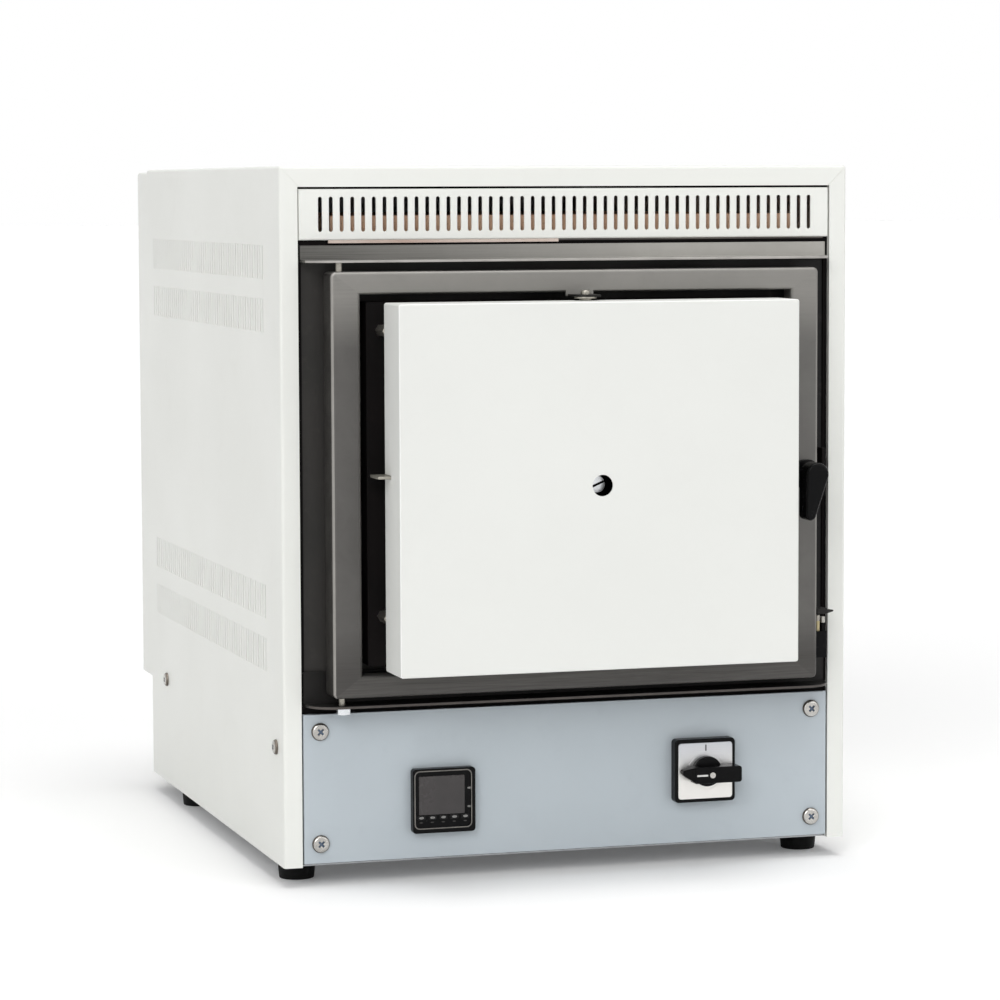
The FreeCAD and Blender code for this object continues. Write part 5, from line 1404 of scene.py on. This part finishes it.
def makeDoorCatch():
    low, high = cadCorners("latch_keeper")
    # painted shadow: the catch is painted black
    catch = softenedCopy("latch_keeper", 0.4, finish="sootCoat")
    high.x = keeper["right"]
    refit(catch, low, high)
    low.y = keeper["front"]
    refit(catch, low, high)


hingePins = {"x": -178.9, "y": -231.5, "radius": 2.5, "nutRadius": 5.4, "nutX": -177.9, "nutTop": 133.5,
             "lowerRise": 1, "lowerTop": 150.0, "upperLow": 446.0, "upperTop": 459.0}


def makeHingePins():
    bottom = cadCorners("hinge_pins")[0].z
    x, y, radius = hingePins["x"], hingePins["y"], hingePins["radius"]
    lower = startRod("lowerPin", (x, y, bottom + hingePins["lowerRise"]), (x, y, hingePins["lowerTop"]),
                     radius, count=32)
    upper = startRod("upperPin", (x, y, hingePins["upperLow"]), (x, y, hingePins["upperTop"]), radius,
                     count=32)
    pins = polish(joinPieces([lower, upper], "hingePins"), 0.3)
    pins = standFor(pins, "hinge_pins", "hangerZinc")
    nut = startRod("hingeNut", (hingePins["nutX"], y, bottom), (hingePins["nutX"], y, hingePins["nutTop"]),
                   hingePins["nutRadius"], count=6)
    addPart(pins, polish(nut, 0.4), "nutZinc")


striker = {"tip": 204.8, "low": 189.4, "high": 193.6, "notch": 198.0, "footTop": 195.0, "footDepth": 2.0,
           "tipRise": 1.6, "tipShare": (1, 0.2, 0.35), "tipLap": 0.5, "tipInset": 1, "tipDrop": 0.8}


def makeStriker():
    # a tongue with a pointed tip and a foot on the door's side
    low, high = cadCorners("striker")
    bottom, tip = striker["low"], striker["tip"]
    tongue = startBox("striker", (low.x, low.y, bottom), (striker["notch"], high.y, striker["high"]))
    inset = striker["tipInset"]
    point = startBox("strikerTip", (striker["notch"] - striker["tipLap"], low.y + inset, bottom),
                     (tip, high.y - inset, striker["high"] - striker["tipDrop"]))
    pickFaces(point, facing("x", 1))
    centre = Vector((tip, (low.y + high.y) / 2, bottom + striker["tipRise"]))
    bpy.ops.transform.resize(value=striker["tipShare"], center_override=centre * mm)
    finishEdit()
    foot = startBox("strikerFoot", (low.x, low.y, bottom),
                    (low.x + striker["footDepth"], high.y, striker["footTop"]))
    whole = polish(joinPieces([tongue, point, foot], "striker"), 0.35)
    # painted shade: the striker is in the dark plate steel
    standFor(whole, "striker", "lowerPlateMetal")


doorSwitch = {"pinX": 192.8, "pinRadius": 1.9, "pinSplit": 183.5, "tabLeft": 198.0, "tabRight": 200.6,
              "tabFront": -228.0, "tabBack": -224.0, "tabSplit": 181.4, "tabTop": 185.8,
              "stemLap": 3}


def makeDoorSwitch():
    low, high = cadCorners("switch_plunger")
    split = doorSwitch["pinSplit"]

    def pin(name, bottom, top):
        place = (doorSwitch["pinX"], (low.y + high.y) / 2)
        return startRod(name, (*place, bottom), (*place, top), doorSwitch["pinRadius"], count=24)

    def tab(name, bottom, top):
        return startBox(name, (doorSwitch["tabLeft"], doorSwitch["tabFront"], bottom),
                        (doorSwitch["tabRight"], doorSwitch["tabBack"], top))

    plunger = standFor(polish(pin("switchPlunger", low.z, split), 0.2), "switch_plunger")
    addPart(plunger, polish(pin("plungerCap", split, high.z), 0.4), "hangerZinc")
    body = softenedCopy("door_switch", 0.4, finish="black_plastic")
    stemLow = cadCorners("door_switch")[1].z - doorSwitch["stemLap"]
    body = addPart(body, tab("tabStem", stemLow, doorSwitch["tabSplit"]), "black_plastic")
    addPart(body, tab("tabEnd", doorSwitch["tabSplit"], doorSwitch["tabTop"]), "pale_plastic")


def makePosts():
    low, high = cadCorners("cover_standoffs")
    low.x, high.x = -posts["half"], posts["half"]
    rise = Vector((0, 0, posts["rise"]))
    refit(softenedCopy("cover_standoffs", 0.3, finish="hangerZinc"), low + rise, high + rise)


for make in (makePosts, makePanel, makeRearCover, makeHingePlates, makeHingePins, makeDoorCatch,
             makeStriker, makeDoorSwitch):
    make()
print("trimmed pieces ready")
